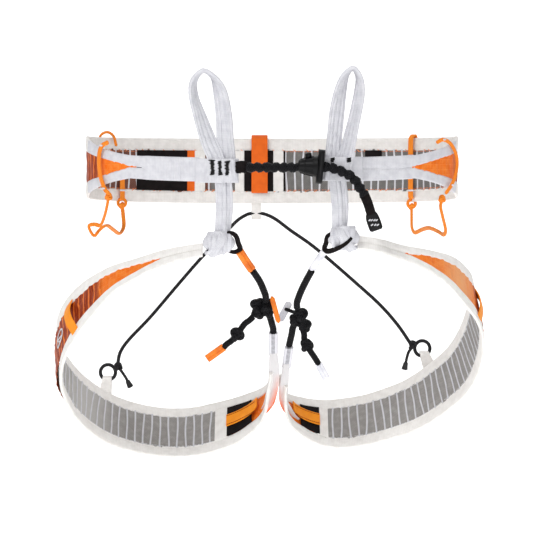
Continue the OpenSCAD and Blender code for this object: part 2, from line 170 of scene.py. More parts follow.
def tube(points, radius, sides=14, relief=None, start=(0, 0, 1), flatten=1.0):
    """A cord. relief takes the distance along and the angle round, and gives
    the share of the radius to add."""
    points = np.asarray(points, float)
    m = len(points)
    dirs = directions(points)
    start = np.asarray(start, float)
    if abs(dirs[0] @ start) > 0.9:
        start = np.array([0, 1.0, 0])
    side = carried(dirs, start)
    other = np.cross(dirs, side)
    angle = np.linspace(0, 2 * np.pi, sides + 1)
    u = np.broadcast_to(run_of(points)[:, None], (m, sides + 1))
    a = np.broadcast_to(angle, (m, sides + 1))
    radius = np.broadcast_to(np.asarray(radius, float), (m,))[:, None]
    r = radius * (1 + (relief(u, a) if relief else 0))
    rings = (points[:, None] + side[:, None] * (r * np.cos(a))[..., None]
             + other[:, None] * (r * np.sin(a) * flatten)[..., None])
    return {"rings": rings[:, :-1], "uv": np.stack([u, a * radius.mean()], 2)}


def rounded_ends(points, radius, cap=0.9, steps=5):
    """Radii and extra end points that close a cord or a bead with round ends."""
    points = np.asarray(points, float)
    d = directions(points)
    radius = np.broadcast_to(np.asarray(radius, float), (len(points),))
    t = np.sin(np.linspace(0, np.pi / 2, steps + 1))[1:]
    low = np.sqrt(np.maximum(1 - t**2, 0)) * radius[0]
    high = np.sqrt(np.maximum(1 - t**2, 0)) * radius[-1]
    first = points[0] - d[0] * (t * radius[0] * cap)[:, None]
    last = points[-1] + d[-1] * (t * radius[-1] * cap)[:, None]
    low[-1] = high[-1] = 0.05 * min(radius[0], radius[-1])
    return (np.vstack([first[::-1], points, last]),
            np.concatenate([low[::-1], radius, high]))


def rod(points, radius, cap=0.9, steps=5, **more):
    """A cord or a bead with round ends."""
    return tube(*rounded_ends(points, radius, cap, steps), **more)


def bell(x, width):
    """1 where x is 0, and falling off on both sides of it."""
    return np.exp(-((x / width) ** 2))


# ---- Objects ----

# Faces that meet at more than this many degrees keep a sharp edge
SHARP_ANGLE = 40


def build(name, parts, material, replaces=(), body="waist_belt", blend=None):
    """One object of swept parts in one material, that rides on a body unless blend is
    given, and hides the imported parts that it replaces."""
    verts, faces, uvs, tones = [], [], [], []
    base = 0
    for part in parts:
        rings, uv = part["rings"], part["uv"]
        m, n = rings.shape[:2]
        verts.append(rings.reshape(-1, 3))
        tones.append(np.broadcast_to(part.get("tone", np.zeros((m, 1))), (m, n)).ravel())
        i, j = np.meshgrid(np.arange(m - 1), np.arange(n), indexing="ij")
        nxt = (j + 1) % n
        quads = np.stack([i * n + j, i * n + nxt, (i + 1) * n + nxt, (i + 1) * n + j], 2)
        faces += (quads.reshape(-1, 4) + base).tolist()
        corner = np.stack([uv[i, j], uv[i, j + 1], uv[i + 1, j + 1], uv[i + 1, j]], 2)
        uvs.append(corner.reshape(-1, 2))
        for row, order in ((0, list(range(n - 1, -1, -1))), (m - 1, list(range(n)))):
            faces.append([base + row * n + k for k in order])
            uvs.append(uv[row, order])
        base += m * n
    mesh = bpy.data.meshes.new(name)
    mesh.from_pydata((np.vstack(verts) * MM).tolist(), [], faces)
    mesh.uv_layers.new(name="millimetres").data.foreach_set("uv", np.vstack(uvs).ravel())
    tone = mesh.attributes.new("tone", "FLOAT", "POINT")
    tone.data.foreach_set("value", np.concatenate(tones).astype(np.float32))
    work = bmesh.new()
    work.from_mesh(mesh)
    bmesh.ops.recalc_face_normals(work, faces=work.faces)
    work.to_mesh(mesh)
    work.free()
    mesh.polygons.foreach_set("use_smooth", np.ones(len(mesh.polygons), bool))
    mesh.set_sharp_from_angle(angle=math.radians(SHARP_ANGLE))
    mesh.materials.append(material)
    piece = bpy.data.objects.new(name, mesh)
    bpy.context.scene.collection.objects.link(piece)
    if blend:
        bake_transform(piece)
    else:
        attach(piece, body)
    if replaces:
        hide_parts(*replaces)
    return piece


# ---- Materials ----

# A wave texture's scale times the pitch of its ridges
WAVE_SCALE = 0.314


def linear(code):
    """An sRGB hex colour as linear red, green, blue and alpha."""
    parts = [int(code[k : k + 2], 16) / 255 for k in (1, 3, 5)]
    return [c / 12.92 if c <= 0.04045 else ((c + 0.055) / 1.055) ** 2.4 for c in parts] + [1]


def add(tree, kind, inputs=None, out=0, **settings):
    """Adds a node with its settings, and its inputs as values, hex colours or links,
    and gives one of its outputs."""
    node = tree.nodes.new("ShaderNode" + kind)
    for key, value in settings.items():
        setattr(node, key, value)
    for key, value in (inputs or {}).items():
        if isinstance(value, bpy.types.NodeSocket):
            tree.links.new(value, node.inputs[key])
        else:
            node.inputs[key].default_value = linear(value) if isinstance(value, str) else value
    return node.outputs[out]


# What a mix of two colours and a soft step are set to
COLOURS = {"out": 2, "data_type": "RGBA"}
SOFT = {"interpolation_type": "SMOOTHSTEP"}


def finish_of(name, colour, roughness, sheen=0.0, sheen_tint="#ffffff", specular=0.35):
    """Starts a material: its tree, its shader and its coordinates in millimetres."""
    made = bpy.data.materials.new(name)
    made.use_nodes = True
    tree = made.node_tree
    shader = tree.nodes["Principled BSDF"]
    shader.inputs["Base Color"].default_value = linear(colour)
    shader.inputs["Roughness"].default_value = roughness
    shader.inputs["Sheen Weight"].default_value = sheen
    shader.inputs["Sheen Tint"].default_value = linear(sheen_tint)
    shader.inputs["Specular IOR Level"].default_value = specular
    return made, tree, shader, add(tree, "UVMap", uv_map="millimetres")


def dress(tree, shader, colour, height, depth):
    """Gives a material its pattern of colour, and a relief of that depth."""
    tree.links.new(colour, shader.inputs["Base Color"])
    relief = add(tree, "Bump", {"Height": height, "Strength": 1.0, "Distance": depth * MM})
    tree.links.new(relief, shader.inputs["Normal"])


def threads(tree, uv, pitch, across="X", skew=0.0):
    """Ridges of thread a pitch apart, between 0 and 1."""
    turned = add(tree, "Mapping", {"Vector": uv, "Rotation": (0, 0, skew)})
    return add(tree, "TexWave", {"Vector": turned, "Scale": WAVE_SCALE / pitch}, "Fac",
               bands_direction=across)


def crossed(tree, uv, pitch, skew):
    """Two sets of threads that slant both ways, with the upper one showing."""
    sets = {k: threads(tree, uv, pitch, "X", way * skew) for k, way in enumerate((1, -1))}
    return add(tree, "Math", sets, operation="MAXIMUM")


def toned(tree, plain, at_one, at_minus_one):
    """The plain colour where a mesh's tone is 0, and the others where it is 1 or -1."""
    tone = add(tree, "Attribute", out="Fac", attribute_name="tone")
    for sign, colour in ((1.0, at_one), (-1.0, at_minus_one)):
        share = add(tree, "Math", {0: tone, 1: sign}, operation="MULTIPLY", use_clamp=True)
        plain = add(tree, "Mix", {0: share, 6: plain, 7: colour}, **COLOURS)
    return plain


def woven(name, colour, shade, warp, weft, depth, roughness=0.8, sheen=0.05, specular=0.3):
    """Woven cloth: warp and weft threads a pitch apart, in two near tones. The darker
    tone is painted shade in the gaps between the threads, and it also mottles the
    cloth in random patches.
    """
    made, tree, shader, uv = finish_of(name, colour, roughness, sheen, colour, specular)
    weave = add(tree, "Math", {0: threads(tree, uv, warp, "Y"), 1: threads(tree, uv, weft, "X")},
                operation="MULTIPLY")
    patches = add(tree, "TexNoise", {"Vector": uv, "Scale": 1 / 6.0, "Detail": 2.0})
    deeper = add(tree, "MapRange", {"Value": patches, "From Min": 0.3, "From Max": 0.75,
                                    "To Min": 0.45, "To Max": 0.95}, **SOFT)
    share = add(tree, "Math", {0: weave, 1: -0.45, 2: deeper}, operation="MULTIPLY_ADD",
                use_clamp=True)
    height = add(tree, "Math", {0: patches, 1: 0.8, 2: weave}, operation="MULTIPLY_ADD")
    pattern = add(tree, "Mix", {0: share, 6: colour, 7: shade}, **COLOURS)
    dress(tree, shader, pattern, height, depth)
    return made


def netting(name, low, high):
    """Polyester netting, warp-knitted: grey, matt, with rows of small holes. The
    real holes are half a millimetre apart and are drawn coarser to show. Its tone
    is 1, a red brown, where the outer fabric lies close behind it."""
    made, tree, shader, uv = finish_of(name, low, 0.9, sheen=0.1)
    net = crossed(tree, uv, 1.3, 0.8)
    patches = add(tree, "TexNoise", {"Vector": uv, "Scale": 1 / 5.0, "Detail": 2.0})
    worn = add(tree, "MapRange", {"Value": patches, "From Min": 0.35, "From Max": 0.8,
                                  "To Max": 0.4}, **SOFT)
    share = add(tree, "Math", {0: net, 1: 0.45, 2: worn}, operation="MULTIPLY_ADD",
                use_clamp=True)
    plain = add(tree, "Mix", {0: share, 6: low, 7: high}, **COLOURS)
    backed = add(tree, "Mix", {0: share, 6: "#5c3a2f", 7: "#85574a"}, **COLOURS)
    dress(tree, shader, toned(tree, plain, backed, "#c4c2bf"), net, 0.15)
    return made


def ripstop():
    """Nylon ripstop, woven and coated: thin and half clear. Where its tone is 1 it is a
    deep red brown, painted shade where the fabric turns away from the light, and the
    netting's bars show through it as lighter lines."""
    made, tree, shader, uv = finish_of("nylon_ripstop_orange_coated", "#f4802a", 0.5,
                                       specular=0.15)
    wander = add(tree, "TexNoise", {"Vector": uv, "Scale": 1 / 9.0, "Detail": 3.0})
    bent = add(tree, "Math", {0: wander, 1: 5.0, 2: add(tree, "SeparateXYZ", {0: uv})},
               operation="MULTIPLY_ADD")
    lines = {}
    for k, (pace, low, strength) in enumerate(((1.0, 0.55, 1.0), (2.7, 0.7, 0.35))):
        turn = add(tree, "Math", {0: bent, 1: pace * 2 * math.pi / BAR_PITCH},
                   operation="MULTIPLY")
        wave = add(tree, "Math", {0: turn}, operation="COSINE")
        lines[k] = add(tree, "MapRange", {"Value": wave, "From Min": low, "From Max": 1.0,
                                          "To Max": strength}, **SOFT)
    light = add(tree, "Math", lines, operation="MAXIMUM")
    # Painted shade: deep red brown where the fabric turns away from the light, with the bars'
    # lighter lines
    behind = add(tree, "Mix", {0: light, 6: "#8a2c0c", 7: "#e8772b"}, **COLOURS)
    thick = add(tree, "Math", {0: threads(tree, uv, 4.0, "X"), 1: threads(tree, uv, 4.0, "Y")},
                operation="MAXIMUM")
    grid = add(tree, "MapRange", {"Value": thick, "From Min": 0.9, "From Max": 1.0}, **SOFT)
    patches = add(tree, "TexNoise", {"Vector": uv, "Scale": 1 / 6.0, "Detail": 4.0})
    crinkled = add(tree, "MapRange", {"Value": patches, "From Min": 0.3, "From Max": 0.7,
                                      "To Max": 0.55}, **SOFT)
    share = add(tree, "Math", {0: grid, 1: 0.25, 2: crinkled}, operation="MULTIPLY_ADD",
                use_clamp=True)
    clear = add(tree, "Mix", {0: share, 6: "#ec6c12", 7: "#f79540"}, **COLOURS)
    small = add(tree, "TexNoise", {"Vector": uv, "Scale": 1 / 3.0, "Detail": 3.0})
    height = add(tree, "Math", {0: grid, 1: 0.6, 2: small}, operation="MULTIPLY_ADD")
    dress(tree, shader, toned(tree, clear, behind, "#f2bd88"), height, 0.25)
    return made


def braided(name, colour, shade, pitch, depth, roughness=0.65, sheen=0.3, specular=0.3):
    """A braided sheath: two sets of strands that cross round the cord. Its shade colour
    is painted shade in the grooves between the strands.
    """
    made, tree, shader, uv = finish_of(name, colour, roughness, sheen, colour, specular)
    strands = crossed(tree, uv, pitch, 0.7)
    dress(tree, shader, add(tree, "Mix", {0: strands, 6: shade, 7: colour}, **COLOURS), strands,
          depth)
    return made


def moulded(name, colour, shade, roughness, grain, specular=0.4):
    """A moulding with a fine spark-eroded grain; its lengths come from the mesh."""
    made, tree, shader, _ = finish_of(name, colour, roughness, specular=specular)
    place = add(tree, "TexCoord", out="Object")
    fine, broad = (add(tree, "TexNoise", {"Vector": place, "Scale": 1 / (size * MM),
                                          "Detail": 2.0}) for size in (grain, 9))
    share = add(tree, "MapRange", {"Value": broad, "From Min": 0.3, "From Max": 0.7}, **SOFT)
    worn = add(tree, "MapRange", {"Value": broad, "To Min": roughness - 0.08,
                                  "To Max": roughness + 0.08})
    tree.links.new(worn, shader.inputs["Roughness"])
    dress(tree, shader, add(tree, "Mix", {0: share, 6: colour, 7: shade}, **COLOURS), fine, 0.04)
    return made


def veil():
    """Thin white nylon strap, woven, with the orange fabric that shows through it."""
    made, tree, shader, uv = finish_of("nylon_strap_thin_woven", "#d9d7d8", 0.7)
    tone = add(tree, "Attribute", out="Fac", attribute_name="tone")
    drawn_out = add(tree, "Mapping", {"Vector": uv, "Scale": (0.2, 1, 1)})
    noise = add(tree, "TexNoise", {"Vector": drawn_out, "Scale": 0.6, "Detail": 3.0})
    streaks = add(tree, "MapRange", {"Value": noise, "From Min": 0.3, "From Max": 0.7,
                                     "To Min": 0.65, "To Max": 1.05}, **SOFT)
    share = add(tree, "Math", {0: tone, 1: streaks}, operation="MULTIPLY", use_clamp=True)
    pattern = add(tree, "Mix", {0: share, 6: "#d9d7d8", 7: "#ea6414"}, **COLOURS)
    dress(tree, shader, pattern, threads(tree, uv, 1.2, "Y"), 0.12)
    return made


def clear_sleeve():
    """Soft clear PVC tube: milky white, with the grey cord showing along its middle."""
    made, tree, shader, uv = finish_of("pvc_sleeve_clear_extruded", "#dedee4", 0.4)
    across = add(tree, "SeparateXYZ", {0: uv}, "Y")
    from_middle = add(tree, "Math", {0: across}, operation="ABSOLUTE")
    core = add(tree, "MapRange", {"Value": from_middle, "From Min": 1.9, "From Max": 1.2}, **SOFT)
    noise = add(tree, "TexNoise", {"Vector": uv, "Scale": 1 / 3.0, "Detail": 2.0})
    patches = add(tree, "MapRange", {"Value": noise, "From Min": 0.3, "From Max": 0.7}, **SOFT)
    strength = add(tree, "Math", {0: patches, 1: 0.3, 2: 0.45}, operation="MULTIPLY_ADD")
    share = add(tree, "Math", {0: core, 1: strength}, operation="MULTIPLY")
    pattern = add(tree, "Mix", {0: share, 6: "#dedee4", 7: "#77777e"}, **COLOURS)
    dress(tree, shader, pattern, patches, 0.08)
    return made


# Distance between the netting's bars
BAR_PITCH = 7.4

# High-tenacity polyethylene webbing, woven: matt, cool white, with a fine warp
WEBBING = woven("polyethylene_webbing_woven", "#e1e1e5", "#c6c6cd", 1.1, 1.3, 0.2, 0.8, 0.08)
# Polyester edging, woven: matt and a warmer white, with a lighter copy as painted light on the legs
PAINTED_LIGHT_LEG_EDGING = woven("polyester_edging_leg_painted_light_woven", "#faf8f5", "#e6e3df", 1.2, 1.4, 0.18, 0.8, 0.08)
EDGING = woven("polyester_edging_woven", "#f2efec", "#dcd9d5", 1.2, 1.4, 0.18, 0.8, 0.08)
# Nylon tape, woven: flat and slightly shiny, in a saturated orange
ORANGE_TAPE = woven("nylon_tape_orange_woven", "#ec6a06", "#d95a02", 0.9, 1.2, 0.12, 0.6, 0.02)
# The same nylon, painted lighter, as painted light for straps that lie in shade by the closures
PAINTED_LIGHT_TAPE = woven("nylon_tape_orange_painted_light_woven", "#ffa01a", "#f58c0e", 0.9, 1.2, 0.12, 0.6,
                   0.03)
# Polyester elastic webbing, woven: nearly black, ribbed across
BLACK_TAPE = woven("polyester_elastic_black_woven", "#1f1919", "#0c090a", 0.9, 1.1, 0.15, 0.75,
                   0.0, 0.1)
# Polyamide sewing thread, twisted, in each colour that the seams use
THREAD_BLACK, THREAD_ORANGE, THREAD_RUST, THREAD_WHITE = (
    woven(f"polyamide_thread_{dye}_twisted", colour, shade, 0.5, 0.8, 0.05)
    for dye, colour, shade in (("black", "#1c1c1e", "#0c0c0d"), ("orange", "#ee9566", "#e08050"),
                               ("rust", "#a8450c", "#8d3808"), ("white", "#dcdce0", "#c8c8ce")))
BELT_NETTING = netting("polyester_netting_belt_knitted", "#5f5d5c", "#83817e")
LEG_NETTING = netting("polyester_netting_leg_knitted", "#85827f", "#adaaa7")
RIPSTOP = ripstop()
# Polyester cord, braided: black, a dull painted sheen on each strand and painted shade between them
BLACK_CORD = braided("polyester_cord_black_braided", "#1b1b1e", "#020203", 1.7, 0.6, 0.5, 0.0, 0.1)
# Gathered sleeve of the connector, braided and crimped
BLACK_SLEEVE = braided("polyester_sleeve_black_braided", "#1b1b1e", "#030304", 1.5, 0.6,
                       0.5, 0.0, 0.12)
# Rubber cord with a braided cover: charcoal grey
ELASTIC = braided("elastic_cord_charcoal_braided", "#29282a", "#111012", 0.9, 0.1, 0.6, 0.0, 0.12)
# Nylon cord for gear, woven flat: light orange
GEAR_CORD = braided("nylon_cord_orange_woven", "#f58f26", "#e56f0c", 1.2, 0.15, 0.6, 0.0)
# Soft PVC sleeves, dipped: slightly shiny
ORANGE_SLEEVE = moulded("pvc_sleeve_orange_dipped", "#ef8214", "#da6806", 0.4, 0.5)
WHITE_SLEEVE = moulded("pvc_sleeve_white_dipped", "#ececf1", "#d3d3dc", 0.45, 0.5)
CLEAR_SLEEVE = clear_sleeve()
VEIL = veil()
# Polyamide, moulded: black, dull, with a fine grain
BLACK_MOULDING = moulded("polyamide_black_moulded", "#0f0f11", "#070708", 0.42, 0.4, 0.18)
# The rubber crimp at the end of an elastic
CRIMP = moulded("rubber_black_moulded", "#1d1d1f", "#131315", 0.55, 0.4)

# ---- The waist belt's line ----

WAIST_W, WAIST_D = 300.0, 190.0
SQUARENESS = 2.4
# Layers of the belt and the leg loops, outwards from their middle
LINER_IN, STRAND_OUT = -1.35, 1.4
PANEL_IN, PANEL_OUT = -2.45, -1.5
OVERLAY_IN = -3.95
NETTING_FACES, BAR_FACES, FABRIC_FACES = (-0.95, -0.6), (-1.3, -0.85), (0.35, 0.65)


class Line:
    """A long loop of webbing, or a length of one: stations along it, distance
    along, middle points, width directions and heights."""

    def __init__(self, at, points, across, height, side, run=None):
        self.at, self.points, self.across, self.height = at, points, across, height
        self.side = side
        self.run = run_of(points) if run is None else run

    def cut(self, a, b, step=2.0):
        low, high = np.interp([a, b], self.at, self.run)
        run = np.linspace(low, high, max(int(abs(high - low) / step), 4) + 1)
        def take(values):
            return np.interp(run, self.run, values)
        points = np.stack([take(c) for c in self.points.T], 1)
        across = np.stack([take(c) for c in self.across.T], 1)
        return Line(take(self.at), points, across, take(self.height), self.side, run)

    def outward(self):
        dirs = directions(self.points)
        w = unit(self.across - (self.across * dirs).sum(1, keepdims=True) * dirs)
        return dirs, w, self.side * np.cross(dirs, w)

    def spot(self, at, v, out):
        """The point at a station, v across from the middle and out from the face."""
        dirs, w, n = self.outward()
        place = np.stack([np.interp(at, self.at, c) for c in self.points.T])
        w = unit([np.interp(at, self.at, c) for c in w.T])
        n = unit([np.interp(at, self.at, c) for c in n.T])
        return place + w * v + n * out


def rounded(v):
    return np.sign(v) * np.abs(v) ** (2 / SQUARENESS)


def belt_line():
    at = np.linspace(-72, 252, 1300)
    x = WAIST_W / 2 * rounded(np.cos(np.radians(at)))
    y = WAIST_D / 2 * rounded(np.sin(np.radians(at)))
    z = np.interp(y, [-95, -72, -15, 95], [0, 2.5, 2.5, -1])
    height = np.interp(y, [-95, -72, -44, -15, 95], [18, 18, 34, 50, 56])
    across = np.tile([0.0, 0, 1], (len(at), 1))
    return Line(at, np.stack([x, y, z], 1), across, height, LEFT)


BELT = belt_line()

# ---- The leg loops' lines ----

KNOT_AT = {"left": (55, -95, -52), "right": (-41, -95, -56)}
LEG_ROWS = {
    "left": [
        (66, -56, 14, 0), (84, -59, 15, 0.05), (103, -65, 17, 0.1), (123, -71, 24, 0.12),
        (140, -80, 34, 0.15), (152, -91, 44, 0.05), (161, -103, 50, -0.05),
        (165, -118, 54, -0.15), (163, -143, 54, -0.25), (154, -165, 54, -0.3),
        (138, -182, 54, -0.28), (122, -195, 54, -0.25), (104, -204, 54, -0.22),
        (80, -212, 54, -0.18), (52, -216, 54, -0.15), (29, -211, 47, -0.12),
        (13, -200, 34, -0.15), (9, -183, 18, -0.4), (12, -163, 13, -0.7),
    ],
    "right": [
        (-54, -62, 14, 0), (-79, -67, 17, 0), (-106, -77, 22, -0.12),
        (-128, -88, 31, -0.15), (-150, -107, 44, -0.2), (-166, -127, 52, -0.2),
        (-174, -149, 54, -0.18), (-171, -172, 54, -0.12), (-156, -196, 54, -0.03),
        (-133, -213, 54, 0), (-104, -222, 54, 0), (-76, -224, 54, 0), (-49, -219, 54, 0),
        (-24, -209, 49, 0), (-7, -195, 35, 0), (0, -172, 18, 0.4), (1, -151, 13, 0.8),
    ],
}
PLANE_Y, LEG_SLOPE = -92, 0.9


def in_plane(name, x, z):
    return np.array([x, PLANE_Y + LEG_SLOPE * (KNOT_AT[name][2] - z), z])


def leg_line(name):
    rows = smooth(LEG_ROWS[name], 40)
    points = np.array([in_plane(name, r[0], r[1]) for r in rows])
    across = np.array([unit([r[3], 1, LEG_SLOPE]) for r in rows])
    at = np.linspace(0, len(LEG_ROWS[name]) - 1, len(rows))
    return Line(at, points, across, rows[:, 2], SIDES[name])


LEGS = {name: leg_line(name) for name in SIDES}

# ---- Where layers lie across a line's height ----

def strand_at(h):
    return np.minimum(11, np.interp(h, [12, 18, 20, 26, 40, 50], [5.9, 8.8, 8.2, 7.6, 9.5, 12]))


def full(h):
    return both(h / 2)


def top_edge(h):
    return np.stack([h / 2 - strand_at(h), h / 2], 1)


def bottom_edge(h):
    return np.stack([-h / 2, -h / 2 + strand_at(h)], 1)


def between(h, tuck=0.4):
    half = np.maximum(h / 2 - strand_at(h) + tuck, 0.3)
    return both(half)


def layer(line, a, b, place, inner, outer, **more):
    part = line.cut(a, b)
    made = flat(part.points, part.across, place(part.height), inner, outer, line.side,
                run=part.run, **more)
    made["at"] = part.at
    return made


def hem(u, v):
    """The stitched hem of a strand: a shallow line inside each edge."""
    return -0.3 * bell(np.abs(v) - 3.5, 0.45) + 0.06 * np.sin(u / 2.1 + v)


def slack(u, v):
    """The slow waves of soft webbing."""
    return 0.22 * np.sin(u / 17 + 0.3 * v) + 0.12 * np.sin(u / 6.1 + 1.3)


def ruffle(u, v):
    """Wrinkles across a thin fabric between two straps."""
    return (0.28 * np.sin(u / 1.05 + 0.9 * np.sin(v / 4.2))
            + 0.2 * np.sin(u / 2.9 + 0.25 * v) + 0.12 * np.sin(u / 0.63 - v / 3))


BAR_WIDTH = 1.5


def bars(line, a, b):
    """The white bars across the netting."""
    part = line.cut(a, b, 0.5)
    dirs, w, n = part.outward()
    out = []
    first = math.ceil(part.run[0] / BAR_PITCH)
    for k in range(first, int(part.run[-1] / BAR_PITCH) + 1):
        j = int(np.searchsorted(part.run, k * BAR_PITCH))
        if not 4 < j < len(part.run) - 5:
            continue
        half = float(between(part.height[j : j + 1], 1.6)[0, 1])
        t = np.linspace(-1, 1, 9)
        bend = 0.5 * rng.normal() * t + 0.45 * np.sin(2.2 * t + rng.uniform(0, 6))
        height = ruffle(np.full(9, k * BAR_PITCH), t * half) * 0.5
        points = (part.points[j] + w[j] * (t * half)[:, None] + dirs[j] * bend[:, None]
                  + n[j] * height[:, None])
        out.append(flat(points, dirs[j], (-BAR_WIDTH / 2, BAR_WIDTH / 2), *BAR_FACES,
                        -line.side, cuts=7))
    return out


def seam(line, a, b, edge, out, pitch, length=1.6, slant=0.5, thick=0.35, offset=0.0):
    """Slanted stitches along the seam between a strand and the netting."""
    part = line.cut(a, b, 0.5)
    dirs, w, n = part.outward()
    made = []
    for u in np.arange(part.run[0] + 3, part.run[-1] - 2, pitch):
        j = int(np.searchsorted(part.run, u + rng.uniform(-0.3, 0.3) * pitch))
        j = min(j, len(part.run) - 1)
        inside = float(between(part.height[j : j + 1], 0)[0, 1])
        middle = part.points[j] + edge * w[j] * (inside + offset) + n[j] * out
        along = unit(dirs[j] + slant * w[j]) * length / 2
        line_of = np.array([middle - along, middle, middle + along])
        made.append(rod(line_of, thick, steps=2, sides=6, start=n[j]))
    return made


# ---- Waist belt ----

def back_angle(x):
    """The station at the back of the belt that lies at x."""
    return math.degrees(math.acos(math.copysign(abs(2 * x / WAIST_W) ** (SQUARENESS / 2), x)))


def belt():
    def strands(a, b):
        return [layer(BELT, a, b, place, LINER_IN, STRAND_OUT, dent=hem, lift=slack)
                for place in (top_edge, bottom_edge)]
    build("belt_strands_back", strands(-14, 194), EDGING, ["belt_top_strand", "belt_bottom_strand"])
    build("belt_strands_front", strands(-72, -14) + strands(194, 236), WEBBING)
    net = layer(BELT, -40, 228, lambda h: between(h, 1.8), *NETTING_FACES,
                lift=lambda u, v: 0.5 * ruffle(u, v))
    net["tone"] = np.interp(net["at"], [106.5, 107], [0, 1])[:, None]
    build("belt_netting", [net], BELT_NETTING, ["belt_liner"])
    build("belt_netting_bars", bars(BELT, -38, 226), THREAD_WHITE)
    shell = layer(BELT, -47, 229, lambda h: between(h, 0.8), *FABRIC_FACES, lift=ruffle,
                  cuts=26)
    # Painted shade over the back and the sides, where the outer fabric turns away from the light
    shell["tone"] = np.interp(shell["at"], [-20, -10, 204, 208], [0, 1, 1, 0])[:, None]
    build("belt_outer_fabric", [shell], RIPSTOP, ["belt_shell"])
    stitches = []
    for edge in (1, -1):
        stitches += seam(BELT, -30, 210, edge, -1.5, 9.0, 2.2, 0.55 * edge, 0.3, 0.6)
        stitches += seam(BELT, -30, 210, edge, -1.3, 2.6, 1.4, 0.0, 0.22, -0.4)
    build("belt_seam_stitches", stitches, THREAD_ORANGE)


def front_straps():
    wide = BELT.cut(231.5, 252, 0.5)
    share = np.clip((wide.at - 231.5) / 2.2, 0, 1)
    edge = full(wide.height + 0.6 * share)
    def folds(u, v):
        near = bell(u - wide.run[-1] + 16, 7.5)
        return (near * (0.5 * np.cos(u * 1.7 + 0.05 * v) + 0.12 * np.cos(u * 3.1 + v))
                + 0.15 * np.sin(u / 2.3 + v / 3))
    strap = flat(wide.points, wide.across, edge, -0.9 - 0.7 * share, 0.9 + 0.8 * share, LEFT,
                 dent=folds, lift=slack, run=wide.run, cuts=30)
    build("front_strap_right_webbing", [strap], WEBBING, ["front_strap_right"])
    narrow = BELT.cut(-72, -47, 1.0)
    share = np.clip((-49 - narrow.at) / 6, 0, 1)
    def halves(u, v):
        return (-0.9 * bell(v - 0.6 * np.sin(u / 9), 0.7)
                - 0.3 * bell(np.abs(v) - 7.2, 0.5) + 0.25 * np.sin(u / 2.2 + v / 3))
    strap = flat(narrow.points, narrow.across, full(narrow.height + 0.6), -1.45,
                 1.25 + 0.3 * share, LEFT, dent=halves, lift=slack, run=narrow.run, cuts=34)
    build("front_strap_left_webbing", [strap], WEBBING, ["front_strap_left"])


def back_of_belt():
    def patch(name, x_from, x_to, material, inner=PANEL_IN, outer=PANEL_OUT, replaces=()):
        made = layer(BELT, back_angle(x_to), back_angle(x_from), lambda h: between(h, 0.6),
                     inner, outer, dent=lambda u, v: 0.06 * np.sin(u * 2.4), cuts=26)
        build(name, [made], material, replaces)
    patch("rear_elastic_panel", -24, 1.2, BLACK_TAPE, replaces=["rear_panel"])
    patch("rear_white_tape_right", -32, -23.6, EDGING, -1.95, -1.2)
    patch("rear_white_tape_left", 1, 10, EDGING, -1.95, -1.2)
    patch("rear_dark_seam", 10.4, 11.6, BLACK_TAPE, -1.8, -1.2)
    patch("clip_patch_right", -116, -73.5, BLACK_TAPE, replaces=["belt_patches"])
    upper = layer(BELT, back_angle(95), back_angle(81),
                  lambda h: np.stack([h * 0 + 2, h / 2 - strand_at(h) + 0.6], 1),
                  PANEL_IN, PANEL_OUT)
    build("clip_patch_left", [upper], BLACK_TAPE)
    patch("slot_tab_orange", -74, -67, ORANGE_TAPE, -2.2, -1.3)
    patch("slot_tape_white", -67, -58, EDGING, -1.95, -1.2)


def hooked(angle, w, low_inside, low_outside):
    """A strap that runs up the inside of the belt and over its top edge."""
    row = BELT.cut(angle, angle + 0.01, 1)
    dirs, _, _ = BELT.cut(angle - 1, angle + 1, 1).outward()
    along = unit([dirs[1][0], dirs[1][1], 0])
    out = np.array([along[1], -along[0], 0])
    place, top = row.points[0], row.points[0][2] + row.height[0] / 2
    inside, outside = OVERLAY_IN - 0.6, STRAND_OUT + 1.4
    rows = [(low_inside, inside + 1.2), (low_inside + 4, inside), (0, inside),
            (top - 4, inside), (top + 0.6, inside + 1.4), (top + 2.4, 0),
            (top + 0.4, outside - 1), (top - 4, outside), (low_outside, outside)]
    points = smooth([(place[0], place[1], z) + o * out for z, o in
                     ((r[0], r[1]) for r in rows)], 8)
    return flat(points, along, (-w / 2, w / 2), -0.6, 0.6,
                dent=lambda u, v: 0.05 * np.sin(2.2 * u), cuts=16)


def rear_strap():
    strap = hooked(92.4, 14, -20, 12)
    build("rear_orange_strap", [strap], ORANGE_TAPE, ["rear_strap"])
    rows = [(0, 97.6, -24), (0, 98.6, -31), (0, 98.9, -40), (0, 97.8, -42.6),
            (0, 96.3, -40), (0, 95.8, -33), (0, 96.2, -25)]
    route = smooth([(-13.5, y, z) for _, y, z in rows], 8)
    tab = flat(route, (1, 0, 0), (-4.3, 4.3), -0.45, 0.45, dent=hem_of(4.3))
    build("rear_tab_tape", [tab], EDGING, ["rear_tab"])


def hem_of(half):
    """A hem line and soft ribs for a tape of that half width."""
    def made(u, v):
        return -0.1 * bell(np.abs(v) - half + 1.1, 0.35) + 0.05 * np.sin(u * 2.0)
    return made


# ---- Front: tie-in loops, cuffs, risers and knots ----

